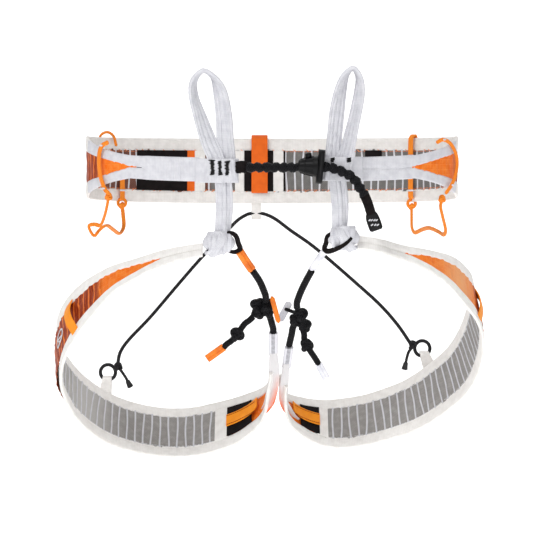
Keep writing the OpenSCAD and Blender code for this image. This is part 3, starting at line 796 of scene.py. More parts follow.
CUFF_Y = -97
TIE_IN_ROWS = {
    "right": [
        (-43, -8, 0, -1), (-43, 8, 0, -1), (-49, 23, 20, -0.6), (-55, 40, 45, 0),
        (-60, 56, 62, 0), (-60, 68, 76, 0), (-53, 76, 90, 0), (-45, 71, 108, 0),
        (-40, 60, 140, 0.2), (-37, 42, 165, 0.6), (-36, 24, 176, 1),
        (-34.5, 8, 180, 1), (-34.5, -8, 180, 1),
    ],
    "left": [
        (47, -7, 0, 1), (47, 6, 12, 1), (47.3, 18, 28, 1), (48.6, 32, 28, 0.8),
        (50, 46, 32, 0.5), (52.3, 60, 45, 0.2), (56, 72, 70, 0), (62, 78, 90, 0),
        (66.6, 71, 105, 0), (67, 60, 120, 0), (64.2, 44, 128, -0.3), (61, 30, 134, -0.6),
        (58.4, 18, 140, -1), (55.5, 6, 165, -1), (54.5, -7, 180, -1),
    ],
}


def piping(u, v):
    """Lengthwise folds of tubular webbing."""
    v = np.abs(v)
    return (-0.9 * bell(v - 1.9, 0.55) - 0.55 * bell(v - 4.9, 0.45)
            + 0.25 * bell(v - 3.4, 0.9) + 0.1 * np.sin(u * 1.9))


def tie_in_loop(name):
    rows = smooth(TIE_IN_ROWS[name], 16)
    points = np.stack([rows[:, 0], CUFF_Y + 1.15 * rows[:, 3], rows[:, 1]], 1)
    loop = flat(points, facing(rows[:, 2]), (-6.6, 6.6), -1.5, 1.5, dent=piping, cuts=44,
                lift=lambda u, v: 0.14 * np.sin(u / 5.2 + v / 4))
    build(f"tie_in_loop_{name}_webbing", [loop], WEBBING, [f"tie_in_loop_{name}"])


CUFF_X = {"left": (39, 60), "right": (-49.5, -26)}
CUFF_Z = {"left": 1, "right": -0.5}


def cuff(name):
    low, high = CUFF_X[name]
    open_end, closed_end = (high, low) if name == "left" else (low, high)
    way = np.sign(closed_end - open_end)
    reach = 3.1
    rows = [(open_end - way * 9, 4.2), (open_end - way * 2, 0.4),
            (open_end + way * 4, -reach - 0.2),
            (closed_end - way * 8, -reach - 0.2), (closed_end - way * 3, -reach),
            (closed_end - way * 0.7, -reach / 2), (closed_end - way * 0.3, 0),
            (closed_end - way * 0.7, reach / 2), (closed_end - way * 3, reach),
            (closed_end - way * 8, reach), (open_end - way * 6, reach + 2.2)]
    route = laid([(x, CUFF_Y + y, CUFF_Z[name]) for x, y in rows], 0.5, 8)
    def crumple(u, v):
        near = bell(u - 33, 6) + 0.5 * bell(u - 12, 5)
        return 0.3 * near * np.sin(u * 1.5 + v / 3) + 0.18 * np.sin(u / 2.3 + 0.5 * v)
    band = flat(route, (0, 0, 1), (-9.3, 9.3), -0.75, 0.75, LEFT if way < 0 else RIGHT,
                cuts=30, lift=crumple, dent=hem_of(9.3))
    build(f"cuff_{name}_webbing", [band], WEBBING, [f"cuff_{name}"])


TACK_WIDTH = 2.4


def bar_tack(x, z_low, z_high, y, pitch=0.62):
    """A zigzag of thread, sewn over and over into a bar."""
    zs = np.arange(z_low, z_high, pitch)
    swing = TACK_WIDTH / 2 * np.where(np.arange(len(zs)) % 2, 1, -1)
    xs = x + swing + 0.3 * rng.normal(size=len(zs))
    points = np.stack([xs, np.full(len(zs), y) + 0.12 * rng.normal(size=len(zs)), zs], 1)
    return rod(smooth(points, 4), 0.5, steps=2, sides=7, start=(0, 1, 0))


def bar_tacks():
    front = CUFF_Y - 4.35
    tacks = [bar_tack(x, low, high, front) for x, low, high in
             ((-45.8, -3.6, 7.6), (-40.0, -3.8, 7.3), (-34.4, -3.8, 6.8))]
    crossing = np.array([(-48.4, front, 7.4), (-43.8, front, 7.4)])
    tacks.append(rod(crossing, 0.45, steps=2, sides=7, start=(0, 1, 0)))
    build("bar_tacks_right", tacks, THREAD_BLACK)
    tacks = [bar_tack(x, 6.2, 9.4, front, 0.6) for x in (46.5, 59.0)]
    build("bar_tacks_left", tacks, THREAD_BLACK)


def riser(name):
    x, y, z = KNOT_AT[name]
    top_x, low_x = {"left": (49.6, 52), "right": (-37.9, -38.6)}[name]
    top_z, low_z = CUFF_Z[name] - 8.5, z + 5
    def strand(dx_top, dx_low, dy, turn_top, turn_low, half):
        t = np.linspace(0, 1, 24)[:, None]
        bow = np.sin(np.pi * t)
        start = np.array([top_x + dx_top, CUFF_Y + dy, top_z])
        end = np.array([low_x + dx_low, y + dy, low_z])
        points = start + (end - start) * t + np.array([0.9, -0.6, 0]) * bow
        across = facing(turn_top + (turn_low - turn_top) * t[:, 0])
        return flat(points, across, (-half, half), -1.45, 1.45, cuts=30,
                    dent=lambda u, v: -0.7 * bell(v - 1.2, 0.5)
                    - 0.3 * bell(v + 2.4, 0.4) + 0.12 * np.sin(u / 1.7 + v))
    parts = [strand(-1.9, -1.6, -0.8, 10, -10, 4.3), strand(4.2, 3.0, 0.8, -50, 58, 3.6)]
    build(f"riser_{name}_webbing", parts, WEBBING, [f"riser_{name}"])


def wrap(centre, dx, half, ry, rz, tilt, lean, start):
    """One turn of webbing round a knot, about X."""
    t = start + np.linspace(0, 2 * np.pi * 1.04, 56)
    points = np.stack([centre[0] + dx + tilt * np.sin(t + lean), centre[1] - ry * np.cos(t),
                       centre[2] + rz * np.sin(t)], 1)
    def pleat(u, v):
        return 0.35 * np.sin(v * 1.25 + u / 7) + 0.2 * np.sin(u / 2.6 + v / 2)
    return flat(points, (1, 0.15 * lean, 0.2), (-half, half), -1.25, 1.25, dent=pleat, cuts=20)


def leg_knot(name):
    centre = np.array(KNOT_AT[name], float)
    side = SIDES[name]
    parts = [
        wrap(centre, 2.5 * side, 5.2, 6.6, 7.6, 1.6 * side, 0.4, 2.2),
        wrap(centre, -5.2 * side, 3.7, 5.6, 6.8, -1.5 * side, 1.2, 1.4),
        wrap(centre, -1.0 * side, 4.6, 7.8, 8.4, 2.8 * side, 2.2, 2.9),
    ]
    over = smooth([centre + p for p in (
        (-1 * side, 3, 9.5), (-3 * side, -4, 7.5), (-2.5 * side, -7.7, 3), (1 * side, -8.2, -2),
        (4.5 * side, -6.5, -7.2), (7 * side, -2, -9.2), (8 * side, 3, -8))], 6)
    parts.append(flat(over, (0.9, 0, 0.45 * side), (-3.7, 3.7), -1.2, 1.2, cuts=18,
                      dent=lambda u, v: 0.25 * np.sin(v * 1.5)))
    under = smooth([centre + p for p in (
        (9.5 * side, 1, 3), (6 * side, -4.5, 5), (0, -6, 6.8), (-6 * side, -4.5, 3.5),
        (-9 * side, 0, -1))], 6)
    parts.append(flat(under, (0.1, 0.2, 1), (-2.7, 2.7), -1.1, 1.1, cuts=16))
    core, radius = rounded_ends(centre + np.array([[-7.5, 0, 0], [0, 0, 0], [7.5, 0, 0]]), 5.6)
    parts.append(tube(core, radius, 16))
    build(f"leg_knot_{name}_webbing", parts, WEBBING, [f"leg_knot_{name}"], body=f"leg_loop_{name}")


# ---- Leg loops ----

# Stations of each leg loop's layers; dark marks the painted shade on its outer fabric
LEG_MARKS = {
    "left": {"shell": (2.4, 16.8), "panel": (14.5, 15.3), "adjuster": (14.5, 15.75),
             "tape": (14.18, 14.58), "dark": (5.8, 6.1, 14.2, 14.8)},
    "right": {"shell": (1.7, 14.8), "panel": (12.45, 13.4), "adjuster": (12.45, 13.75),
              "tape": (12.05, 12.48), "dark": (3.2, 3.5, 12.2, 12.8)},
}
OUTER_STRAP = {
    "left": {"from": 6.6, "to": 6.1, "bulge": 3.0, "inset": 6},
    "right": {"from": 4.6, "to": 4.4, "bulge": 4.6, "inset": 9},
}
# Places and half widths down the strap by the closure, where the orange shows through
INNER_STRAP = {
    "left": [(11.8, 3, -159.5, 2.6), (10.6, 11.1, -172.2, 3.4), (9.8, 20.9, -183, 3.9),
             (9.5, 29.1, -192.1, 3.5), (12.3, 36.2, -200, 3.9), (17, 42, -207.5, 3.4),
             (22, 45, -211.5, 2.2)],
    "right": [(1.2, -10, -147.5, 3.0), (1.6, -2.2, -160.4, 4.2), (1.6, 7.4, -172, 4.5),
              (0, 18.1, -183.9, 4.8), (-2.5, 28.1, -195, 4.4), (-7, 35, -203, 3.3),
              (-13.5, 39, -209, 1.8)],
}


def leg_bands(name, line, body):
    """The strands, the netting with its bars and the outer fabric over them."""
    marks = LEG_MARKS[name]
    a, b = marks["shell"]
    tape_from, tape_to = marks["tape"]
    strands = [layer(line, 0, line.at[-1] - 0.6, place, LINER_IN, STRAND_OUT, dent=hem,
                     lift=slack) for place in (top_edge, bottom_edge)]
    # Painted light: the leg strands take the lighter copy of the edging
    build(f"leg_strands_{name}", strands, PAINTED_LIGHT_LEG_EDGING,
          [f"leg_upper_strand_{name}", f"leg_lower_strand_{name}"], body=body)
    net = layer(line, a + 0.2, tape_to + 0.1, lambda h: between(h, 1.8), *NETTING_FACES,
                lift=lambda u, v: 0.5 * ruffle(u, v))
    if name == "right":
        net["tone"] = -0.8 * bell(net["at"] - 7.9, 0.9)[:, None]
    build(f"leg_netting_{name}", [net], LEG_NETTING, [f"leg_liner_{name}"], body=body)
    build(f"leg_netting_bars_{name}", bars(line, a + 0.5, tape_from), THREAD_WHITE, body=body)
    shell = layer(line, a - 0.4, b, lambda h: between(h, 0.8), *FABRIC_FACES, lift=ruffle,
                  cuts=26)
    span = line.cut(a - 0.4, b)
    _, _, n = span.outward()
    swell = (4.2 if name == "right" else 1.5) * bell(span.at - 6.9, 0.9)
    shell["rings"] = shell["rings"] + swell[:, None, None] * n[:, None]
    # Painted shade: the outer fabric turns deep red brown where it turns away from the light
    shell["tone"] = np.interp(shell["at"], marks["dark"], [0, 1, 1, 0])[:, None]
    if name == "left":
        shell["tone"] = shell["tone"] - 0.6 * bell(shell["at"] - 4.6, 1.0)[:, None]
    build(f"leg_outer_fabric_{name}", [shell], RIPSTOP, [f"leg_shell_{name}"], body=body)


def leg_inner_strap(name, body):
    rows = INNER_STRAP[name]
    middle = smooth([row[:3] for row in rows], 10)
    half = np.interp(run_of(middle), run_of(np.array(rows)[:, :3]), [row[3] for row in rows])
    strap = flat(middle, (1, 0, 0), both(half), -0.6, 0.6, cuts=24,
                 dent=lambda u, v: 0.08 * np.sin(1.6 * v + u / 9))
    beside = (strap["rings"][:, :, 0] - middle[:, None, 0]) / half[:, None] * -SIDES[name]
    down = np.linspace(0, 1, len(middle))[:, None]
    strap["tone"] = np.clip((down - 0.25) * 2.5, 0, 1) * np.clip(0.3 + 1.1 * beside, 0, 1)
    build(f"leg_inner_strap_{name}", [strap], VEIL, body=body)


def leg_adjuster(name, line, body):
    """The elastic panel by the closure, and the orange strap sewn over it."""
    marks = LEG_MARKS[name]
    panel = layer(line, *marks["panel"], lambda h: between(h, 0.7), PANEL_IN, PANEL_OUT,
                  dent=lambda u, v: 0.08 * np.sin(u * 2.6), cuts=20)
    build(f"leg_elastic_panel_{name}", [panel], BLACK_TAPE, [f"leg_panel_{name}"], body=body)
    def strip(h):
        end = np.linspace(0, 1, len(h)) ** 4
        return np.stack([-6.0 + 5 * end, np.minimum(7 + 2 * end, h / 2 - 1)], 1)
    strap = layer(line, *marks["adjuster"], strip, -3.7, -2.6, dent=hem_of(6.3), cuts=20)
    # Painted light: the strap takes the lighter copy of the orange tape, as it lies in shade
    build(f"leg_adjuster_{name}_webbing", [strap], PAINTED_LIGHT_TAPE, [f"leg_adjuster_{name}"],
          body=body)
    part = line.cut(*marks["adjuster"], 0.5)
    dirs, w, n = part.outward()
    sewn = []
    for v in (-4.6, 5.2):
        for j in range(3, len(part.run) - 3, 4):
            middle = part.points[j] + w[j] * v - n[j] * 3.85
            ends = np.array([middle - dirs[j] * 0.6, middle, middle + dirs[j] * 0.6])
            sewn.append(rod(ends, 0.3, steps=2, sides=6, start=n[j]))
    build(f"leg_adjuster_{name}_stitches", sewn, THREAD_RUST, body=body)
    tape = layer(line, *marks["tape"], lambda h: between(h, 1.5), -2.1, -1.2,
                 dent=lambda u, v: 0.06 * np.sin(v * 1.6))
    # Painted light: the tape takes the lighter copy of the edging
    build(f"leg_white_tape_{name}", [tape], PAINTED_LIGHT_LEG_EDGING, body=body)


def leg_outer_strap(name, line, body):
    """The orange strap across the outside of the leg loop, which bulges off it."""
    marks = OUTER_STRAP[name]
    begin, end = marks["from"], marks["to"]
    middle = (begin + end) / 2
    reach = float(np.interp(middle, line.at, line.height)) / 2 - 5
    route = [line.spot(begin + (end - begin) * k,
                       reach * (1 - 2 * k) - (marks["inset"] - 5) * (1 - k),
                       1.3 + marks["bulge"] * math.sin(math.pi * k))
             for k in np.linspace(0, 1, 22)]
    dirs, _, _ = line.cut(middle, middle + 0.05, 1).outward()
    strap = flat(np.array(route), dirs[0], (-4.8, 4.8), -0.55, 0.55, cuts=18, dent=hem_of(4.8))
    # Painted light: the strap takes the lighter copy of the orange tape
    build(f"leg_outer_strap_{name}", [strap], PAINTED_LIGHT_TAPE, body=body)


def leg_loop(name):
    line, body = LEGS[name], f"leg_loop_{name}"
    leg_bands(name, line, body)
    leg_inner_strap(name, body)
    leg_adjuster(name, line, body)
    leg_outer_strap(name, line, body)
    stitches = []
    for edge in (1, -1):
        stitches += seam(line, LEG_MARKS[name]["shell"][0], LEG_MARKS[name]["tape"][0], edge,
                         -1.45, 2.4, 1.3, 0.0, 0.2, 0.5)
    build(f"leg_seam_stitches_{name}", stitches, THREAD_WHITE, body=body)


def leg_badge():
    """A plain badge, printed on the outer fabric: a ring with a slanted bar in it."""
    line = LEGS["right"]
    ring = [line.spot(5.45 + 0.3 * rounded(math.cos(a)), 5.2 * rounded(math.sin(a)), 1.9)
            for a in np.linspace(0, 2 * np.pi * 1.02, 40)]
    bar = [line.spot(5.45 + 0.2 * k, 2.6 * k, 1.9) for k in np.linspace(-1, 1, 6)]
    low = [line.spot(5.5 + 0.1 * k, -2 + 2 * k, 1.9) for k in np.linspace(-1, 1, 6)]
    parts = [rod(np.array(p), radius, steps=2, sides=8, flatten=0.5)
             for p, radius in ((ring, 0.75), (bar, 0.7), (low, 0.55))]
    build("leg_badge_plain", parts, THREAD_WHITE, body="leg_loop_right")


RING_AT = {"left": (129, 70, -153), "right": (-141, 74, -174)}
TAB_FOOT = {"left": (134, 62, -167), "right": (-143, 70, -192)}


def leg_tab(name):
    ring, foot = np.array(RING_AT[name], float), np.array(TAB_FOOT[name], float)
    t = np.linspace(0, 2 * np.pi * 1.02, 48)
    hoop = ring + 6.5 * np.stack([np.cos(t), 0.12 * np.sin(t), np.sin(t)], 1)
    build(f"leg_ring_{name}", [tube(hoop, 1.5, 12, start=(0, 1, 0))], ELASTIC, [f"leg_tab_{name}"],
          body=f"leg_loop_{name}")
    down = unit(foot - ring)
    out = unit(np.cross(down, (1, 0, 0)))
    over = ring + down * 6
    route = smooth([foot + out * 1.4, over + down * 3 + out * 1.5, over - down * 1.2 + out * 1.7,
                    over - down * 2.6, over - down * 1.2 - out * 1.7,
                    over + down * 3 - out * 1.5, foot - out * 1.4], 7)
    spread = 3.7 + 1.6 * np.abs(np.linspace(-1, 1, len(route))) ** 2
    tab = flat(route, (1, 0, 0), both(spread), -0.5, 0.5, dent=hem_of(4),
               cuts=18)
    build(f"leg_tab_{name}_tape", [tab], EDGING, body=f"leg_loop_{name}")


# ---- Rear elastics ----

ELASTIC_ROUTES = {
    "left": [
        (-8, 96.5, -38), (-2, 95, -40), (5, 94, -44), (17, 91, -53), (33, 88, -64),
        (49, 85, -77), (72, 82, -97), (93, 78, -116), (108, 73, -133), (119, 68, -149),
    ],
    "right": [
        (-19, 96.5, -38), (-24, 94, -40), (-30, 92, -44), (-38, 90, -52), (-60, 87, -75),
        (-81, 84, -99), (-104, 80, -126), (-123, 76, -146), (-130, 73, -156),
        (-132, 72, -164),
    ],
}
ELASTIC_KNOT = {"left": (120.5, 68.5, -150), "right": (-132, 72, -169)}
ELASTIC_TAIL = {
    "left": [(120, 67, -152), (117, 66.5, -156), (115.5, 66.5, -161), (114.5, 66.5, -166)],
    "right": [(-130.5, 71, -171), (-127.5, 70.5, -175), (-125, 70.5, -179), (-123.5, 70.5, -182)],
}


def trefoil(centre, size, radius, turn, sides=12):
    """A tight overhand knot in a cord."""
    t = np.linspace(0, 2 * np.pi * 1.03, 90)
    shape = np.stack([np.sin(t) + 2 * np.sin(2 * t), -1.15 * np.sin(3 * t),
                      np.cos(t) - 2 * np.cos(2 * t)], 1) / 3 * size
    rotation = np.array(Euler([math.radians(a) for a in turn]).to_matrix())
    points = np.asarray(centre, float) + shape @ rotation.T
    return tube(points, radius, sides, start=(0.3, 1, 0.2))


def rear_elastic(name):
    rows = [(-13.5, 97.2, -37.8), *ELASTIC_ROUTES[name], ELASTIC_KNOT[name]]
    route = laid(rows, 2.0)
    leg = f"leg_loop_{name}"
    build(f"rear_elastic_{name}_cord", [tube(route, 1.5, 14)], ELASTIC, [f"rear_elastic_{name}"],
          blend=(leg, np.array((-13.5, 95, -40)) * MM, np.array(ELASTIC_ROUTES[name][-1]) * MM))
    knot = trefoil(ELASTIC_KNOT[name], 3.3, 1.45, (20, 35, 60))
    tail = tube(laid(ELASTIC_TAIL[name], 1.0, 8), 1.25, 10)
    build(f"rear_elastic_{name}_knot", [knot, tail], ELASTIC, body=leg)
    end = np.array(ELASTIC_TAIL[name][-1], float)
    way = unit(end - np.array(ELASTIC_TAIL[name][-2], float))
    line = np.array([end - way * 1, end + way * 1.5, end + way * 4.5])
    points, radius = rounded_ends(line, (1.9, 2.2, 2.7), cap=0.35, steps=3)
    build(f"rear_elastic_{name}_crimp", [tube(points, radius, 16)], CRIMP, body=leg)


# ---- Gear loops ----

GEAR_FRONT = {
    "left": [(131, -50, 22), (135.5, -49, 24), (141.5, -46, 21), (146, -41, 14),
             (147.8, -38, 6), (146.2, -42, -4), (142.5, -47, -12), (138, -51, -18)],
    "right": [(-129.7, -60, 21.4), (-133.7, -57.5, 19.2), (-136, -55.6, 14.4),
              (-136.6, -55.4, 5.3), (-135.2, -56.8, -5.4), (-132, -59.2, -14.6),
              (-129.2, -60.8, -18)],
}
GEAR_HANG = {
    "left": [(119, 65, -31), (119, 64, -41), (119, 60, -49), (121, 53, -53), (126, 38, -50),
             (130, 15, -48), (135, -10, -50), (138, -27, -52), (139, -36, -48),
             (136, -42, -37), (134, -46, -29), (135, -48, -23)],
    "right": [(-129, -56, -21), (-130.5, -53, -28), (-133, -46, -36), (-137, -38, -44),
              (-142, -34, -43.6), (-147, -31, -44.6), (-146, -30, -49), (-142.9, -29, -53),
              (-139.5, -27, -49), (-136, -22, -45.7), (-134, -5, -45.5), (-131, 20, -50),
              (-128, 42, -53.5), (-125.5, 54, -48), (-126, 55, -38), (-127, 55, -30)],
}
GEAR_ANGLE = {"left": 39.6, "right": 147.4}
# The arch of cord over the top edge of the belt
EDGE_ARCH = [(-146, 40, 17), (-145, 41, 25), (-142.5, 42.5, 30), (-137.5, 44, 31.5),
             (-133, 45.5, 28), (-131.2, 47, 21)]


def gear_cord(route, radius=1.7):
    points, r = rounded_ends(laid(route, 1.2), radius, steps=3)
    return tube(points, r, 12, flatten=0.72,
                relief=lambda u, a: 0.05 * np.cos(2 * a) + 0.05 * np.sin(u * 2.4))


def gear_loop(name):
    side, angle = SIDES[name], GEAR_ANGLE[name]
    front = gear_cord(GEAR_FRONT[name], 1.45 if name == "left" else 1.75)
    if name == "left":
        tapes = [front, hooked(angle, 5.0, -24.5, 18)]
    else:
        row = BELT.cut(angle - 0.5, angle + 0.5, 1)
        _, _, n = row.outward()
        flat_run = [row.points[1] + n[1] * (OVERLAY_IN - 0.6) + np.array([0, 0, z])
                    for z in np.linspace(-26, 12, 12)]
        dirs, _, _ = row.outward()
        tapes = [front, gear_cord(EDGE_ARCH, 1.5),
                 flat(np.array(flat_run), dirs[1], (-2.6, 2.6), -0.6, 0.6, cuts=14)]
    build(f"gear_loop_{name}_tape", tapes, GEAR_CORD, [f"gear_loop_anchor_{name}"])
    ends = GEAR_HANG[name]
    knots = [trefoil(ends[0] if name == "right" else ends[-1], 2.0, 1.5, (0, 60, 20)),
             trefoil(ends[-1] if name == "right" else ends[0], 1.8, 1.5, (40, 0, 80))]
    rear = np.array(ends[0] if name == "left" else ends[-1], float)
    t = np.linspace(0, 2 * np.pi * 1.03, 36)
    hoop = rear + (0, 0, 2.2) + 3.3 * np.stack([np.cos(t), 0.2 * np.sin(t), np.sin(t)], 1)
    knots.append(tube(hoop, 1.35, 10, start=(0, 1, 0)))
    build(f"gear_loop_{name}_cord", [gear_cord(ends), *knots], GEAR_CORD, [f"gear_loop_{name}"],
          body=f"gear_loop_{name}")
    row = BELT.cut(angle - 0.5, angle + 0.5, 1)
    dirs, _, n = row.outward()
    tacks = []
    for z in (-17.5, 12):
        middle = row.points[1] + n[1] * (OVERLAY_IN - 1.6) + np.array([0, 0, z])
        line = np.array([middle - dirs[1] * 3, middle, middle + dirs[1] * 3])
        tacks.append(rod(line, 0.75, steps=3, sides=8))
    for k in (1, -2):
        p = np.array(GEAR_FRONT[name][k], float)
        out = unit(np.array([p[0] * 0.8, p[1] * 1.2, 0]))
        line = p + out * 1.6 + np.outer([-2.2, 0, 2.2], np.cross(out, (0, 0, 1)))
        tacks.append(rod(line, 0.7, steps=3, sides=8))
    build(f"gear_loop_{name}_tacks", tacks, THREAD_WHITE)


# ---- Connector between the tie-in points ----

CONNECTOR = [(-20, -105, 2), (0, -105, 2), (20, -105, 2), (38, -105, 2.4), (46.7, -106, 1.3),
             (55.8, -107.2, -2.4), (62.2, -108, -6.6), (67.3, -108, -14), (70.6, -108, -19.5)]
LUMP_PITCH = 6.4


def gathered(u, a):
    """The lumps of a gathered sleeve, that wind round it."""
    lump = np.abs(np.sin(np.pi * u / LUMP_PITCH + 0.45 * np.sin(a + u / 5)))
    return 0.42 * (lump - 0.62) + 0.04 * np.cos(u * 2.3 + 3 * a)


def connector():
    fold = smooth([(-19.5, -104.5, 2), (-23, -105, 2.5), (-26, -104, 2), (-26.5, -101.5, 2),
                   (-24, -100.8, 2)], 7)
    build("connector_anchor_fold",
          [flat(fold, (0, 0, 1), (-4.6, 4.6), -1.3, 1.3, dent=lambda u, v: 0.2 * np.sin(2 * v))],
          BLACK_TAPE, ["connector_anchor"])
    route = laid(CONNECTOR, 0.5)
    cord = build("connector_cord_gathered", [tube(route, 3.5, 28, relief=gathered)],
                 BLACK_SLEEVE, ["connector_cord", "connector_tail"])
    sleeve = laid([(70.2, -108, -18.4), (72.4, -107.9, -23.5), (74.2, -107.7, -28.5),
                   (75.8, -107.5, -34)], 0.6, 8)
    sheath = build("connector_flat_sleeve",
                   [flat(sleeve, (1, 0, 0.3), (-3.7, 3.7), -2.0, 2.0, cuts=24,
                         dent=lambda u, v: 0.16 * np.sin(u * 2.2) + 0.1 * np.sin(v * 2))],
                   BLACK_TAPE, ["connector_sleeve"])
    tab = laid([(75.4, -107.5, -33), (76.8, -107.4, -37), (78.4, -107.2, -41.5),
                (80.0, -107, -46)], 0.4, 8)
    share = np.linspace(0, 1, len(tab))
    half = 5.3 - 1.4 * (1 - share) ** 6 - 1.3 * share**18
    def rim(u, v):
        return 0.35 * bell(np.abs(v) - 4.4, 0.6)
    moulding = build("pull_tab_moulding",
                     [flat(tab, (1, 0, 0.2), both(half), -1.2, 1.2, cuts=26,
                           dent=rim)],
                     BLACK_MOULDING, ["pull_tab"])
    marks = []
    for z, dashes in ((-38.2, (-2.8, -1.1, 0.9, 2.6)), (-41.8, (-2.2, 0.2, 2.2))):
        for dx in dashes:
            x = float(np.interp(-z, -tab[:, 2], tab[:, 0])) + dx
            line = np.array([(x - 0.5, -108.8, z - 0.4), (x, -108.9, z),
                             (x + 0.5, -108.8, z + 0.4)])
            marks.append(rod(line, 0.5, steps=3, sides=8))
    dashes = build("pull_tab_marks", marks, THREAD_WHITE)


def stopper():
    """The cord lock: a ribbed barrel that narrows towards the left, with a flange."""
    t = np.linspace(0, 1, 40)
    barrel = np.stack([20.5 + 14 * t, np.full(40, -105.0), 3.2 - 0.6 * t], 1)
    radius = 4.7 + 3.6 * t**0.8
    def ribs(u, a):
        return 0.05 * np.sign(np.cos(8 * a)) * (u > 2) * (u < 12) + 0.06 * (u > 5) * (u < 6)
    flange = np.array([(38.2, -105, 15.6), (37.4, -105, 8), (36.6, -105, 0), (35.6, -105, -10.5)])
    flange = smooth(flange, 10)
    half = 7.2 * np.sin(np.arccos(np.clip(np.abs(np.linspace(-1, 1, len(flange))) ** 7, 0, 0.9)))
    plate = flat(flange, (0, 1, 0), both(half), -2.6, 2.6, cuts=26,
                 dent=lambda u, v: -0.25 * bell(u - 3.5, 0.7))
    button = np.array([(28, -105, 10), (27.6, -105, 12.2)])
    build("stopper_moulding",
          [rod(barrel, radius, cap=0.25, steps=4, sides=48, relief=ribs), plate,
           rod(button, 2.6, cap=0.4, steps=3, sides=20)],
          BLACK_MOULDING, ["stopper"], body="stopper")


# ---- Closures of the leg loops ----

CLOSURE_LOOP = {
    "left": [(50, -94, -50.5), (46.8, -97.5, -49.4), (44, -98.6, -49.7), (42.2, -97, -52),
             (41.7, -93, -56.2), (40.6, -88, -60.6), (43, -90, -62.8), (48.4, -98.5, -61),
             (53, -103.2, -58.6), (57, -104.6, -55.8), (61, -103, -52)],
    "right": [(-36, -96, -48.4), (-33, -98, -48.2), (-30, -99, -48.8), (-27.4, -97, -51.4),
              (-26, -93, -56.5), (-24.8, -88, -60.8), (-28, -87, -63.3), (-32, -90, -63),
              (-35.5, -93, -61.5)],
}
CLOSURE_SLEEVE = {
    "left": [(41.2, -86, -62), (36.4, -77.5, -69.4), (31.8, -70.2, -77.2)],
    "right": [(-25.2, -87, -62.8), (-20.4, -79.5, -70.8), (-15.8, -73.2, -77.8)],
}
CLOSURE_CORD = {
    "left": [(31, -69, -79), (27, -62, -87), (23, -54, -96), (20, -46, -105), (20, -41, -110)],
    "right": [(-15, -72, -79), (-10, -65, -87), (-7, -58, -94), (-5, -53, -100),
              (-5, -49, -104)],
}
LOWER_CORD = {
    "left": [(20, -28, -122), (17, -25, -127), (16, -20, -133), (15, -15, -138), (14, -11, -143)],
    "right": [(-3, -38, -114), (-1, -34, -120), (0, -31, -124), (1, -27, -128), (1, -25, -131)],
}
TAIL = {
    "left": [(25, -30, -128), (26, -30, -133), (26, -30, -136), (28, -30, -141), (31, -30, -146),
             (35, -30, -152), (38, -30, -157)],
    "right": [(-15, -43, -117), (-18, -43, -120), (-22, -43, -123), (-27, -43, -130),
              (-32, -43, -136), (-36, -43, -139), (-39, -43, -142)],
}
TAIL_KNOT = {"left": ((28, -30, -141), 4.6), "right": ((-28, -43, -131.5), 5.2)}
TAIL_END = {
    "left": [(37.5, -30, -156.2), (40.5, -30, -161.8), (44, -30, -168)],
    "right": [(-38.5, -43, -141.4), (-45, -43, -146), (-52, -43, -151)],
}
TAIL_ACROSS = {"left": (1, 0, 0.55), "right": (0.58, 0, -0.8)}
CLOSURE_LOBES = {
    "left": [(23, -34, -116, 5), (27, -27, -126, 4.6), (18, -31, -121, 4)],
    "right": [(-11, -43, -108, 5.9), (-4, -43, -108.5, 5.3), (-11, -39, -114, 4.8),
              (-3.5, -39, -114, 4.2)],
}
TOGGLE_ENDS = {
    "left": [(14.6, -22, -106.5), (6, -22, -122.5)],
    "right": [(-0.3, -53, -100), (5.4, -53, -121.5)],
}
TOGGLE_AT = {"left": (11.4, -24, -112.6), "right": (1.2, -49, -110)}
STRAP_SLEEVE_TOP = {"left": (14, -10, -144.5), "right": (1, -24, -131.5)}


def braid(u, a):
    """The strands of a braided cord."""
    return 0.045 * np.cos(2 * np.pi * u / 2.6 + 4 * a) * np.cos(2 * np.pi * u / 2.6 - 4 * a)


def slit(u, v):
    """The lengthwise fold of a soft sleeve over its cord, and faint marks across."""
    return -0.55 * bell(v - 0.5, 0.4) + 0.08 * np.sin(u * 2.2)


def closure_top(name, body, sleeve):
    """The black loop round the riser, its soft sleeve and the cords on each side of the knot."""
    loop = laid(CLOSURE_LOOP[name], 0.7)
    face = np.cross(directions(loop), (0.15, 1, 0.1))
    spread = np.interp(np.linspace(0, 1, len(loop)), [0, 0.25, 0.6, 1], [1.3, 1.9, 2.1, 1.2])
    tape = flat(loop, face, both(spread), -0.85, 0.85, dent=lambda u, v: 0.1 * np.sin(u * 2.5))
    build(f"closure_loop_{name}_tape", [tape], BLACK_TAPE, [f"closure_loop_{name}"], body=body)
    tube_of = flat(laid(CLOSURE_SLEEVE[name], 0.7), (1, 0.4, 0.4), (-3.4, 3.4), -1.9, 1.9,
                   cuts=30, dent=slit)
    build(f"closure_sleeve_{name}_tube", [tube_of], sleeve, [f"closure_sleeve_{name}"],
          body=body)
    cords = [tube(laid(route[name], 0.6), 2.7, 22, relief=braid)
             for route in (CLOSURE_CORD, LOWER_CORD)]
    build(f"closure_cord_{name}_braid", cords, BLACK_CORD, [f"closure_cord_{name}"], body=body)


def closure_knot(name, body):
    lobes = [trefoil((x, y, z), r * 0.76, 2.6, (35 * k + 10, 50 * k, 70 * k + 20), 18)
             for k, (x, y, z, r) in enumerate(CLOSURE_LOBES[name])]
    places = np.array([lobe[:3] for lobe in CLOSURE_LOBES[name]], float)
    core = laid(np.vstack([places, places[0], TAIL[name][0]]), 0.8)
    to_toggle = np.array([places[0], (places[0] + TOGGLE_AT[name]) / 2, TOGGLE_AT[name]])
    lobes += [tube(core, 2.5, 18, relief=braid),
              rod(smooth(to_toggle, 6), 1.5, steps=3, sides=12)]
    build(f"closure_knot_{name}_braid", lobes, BLACK_CORD, [f"closure_knot_{name}"], body=body)


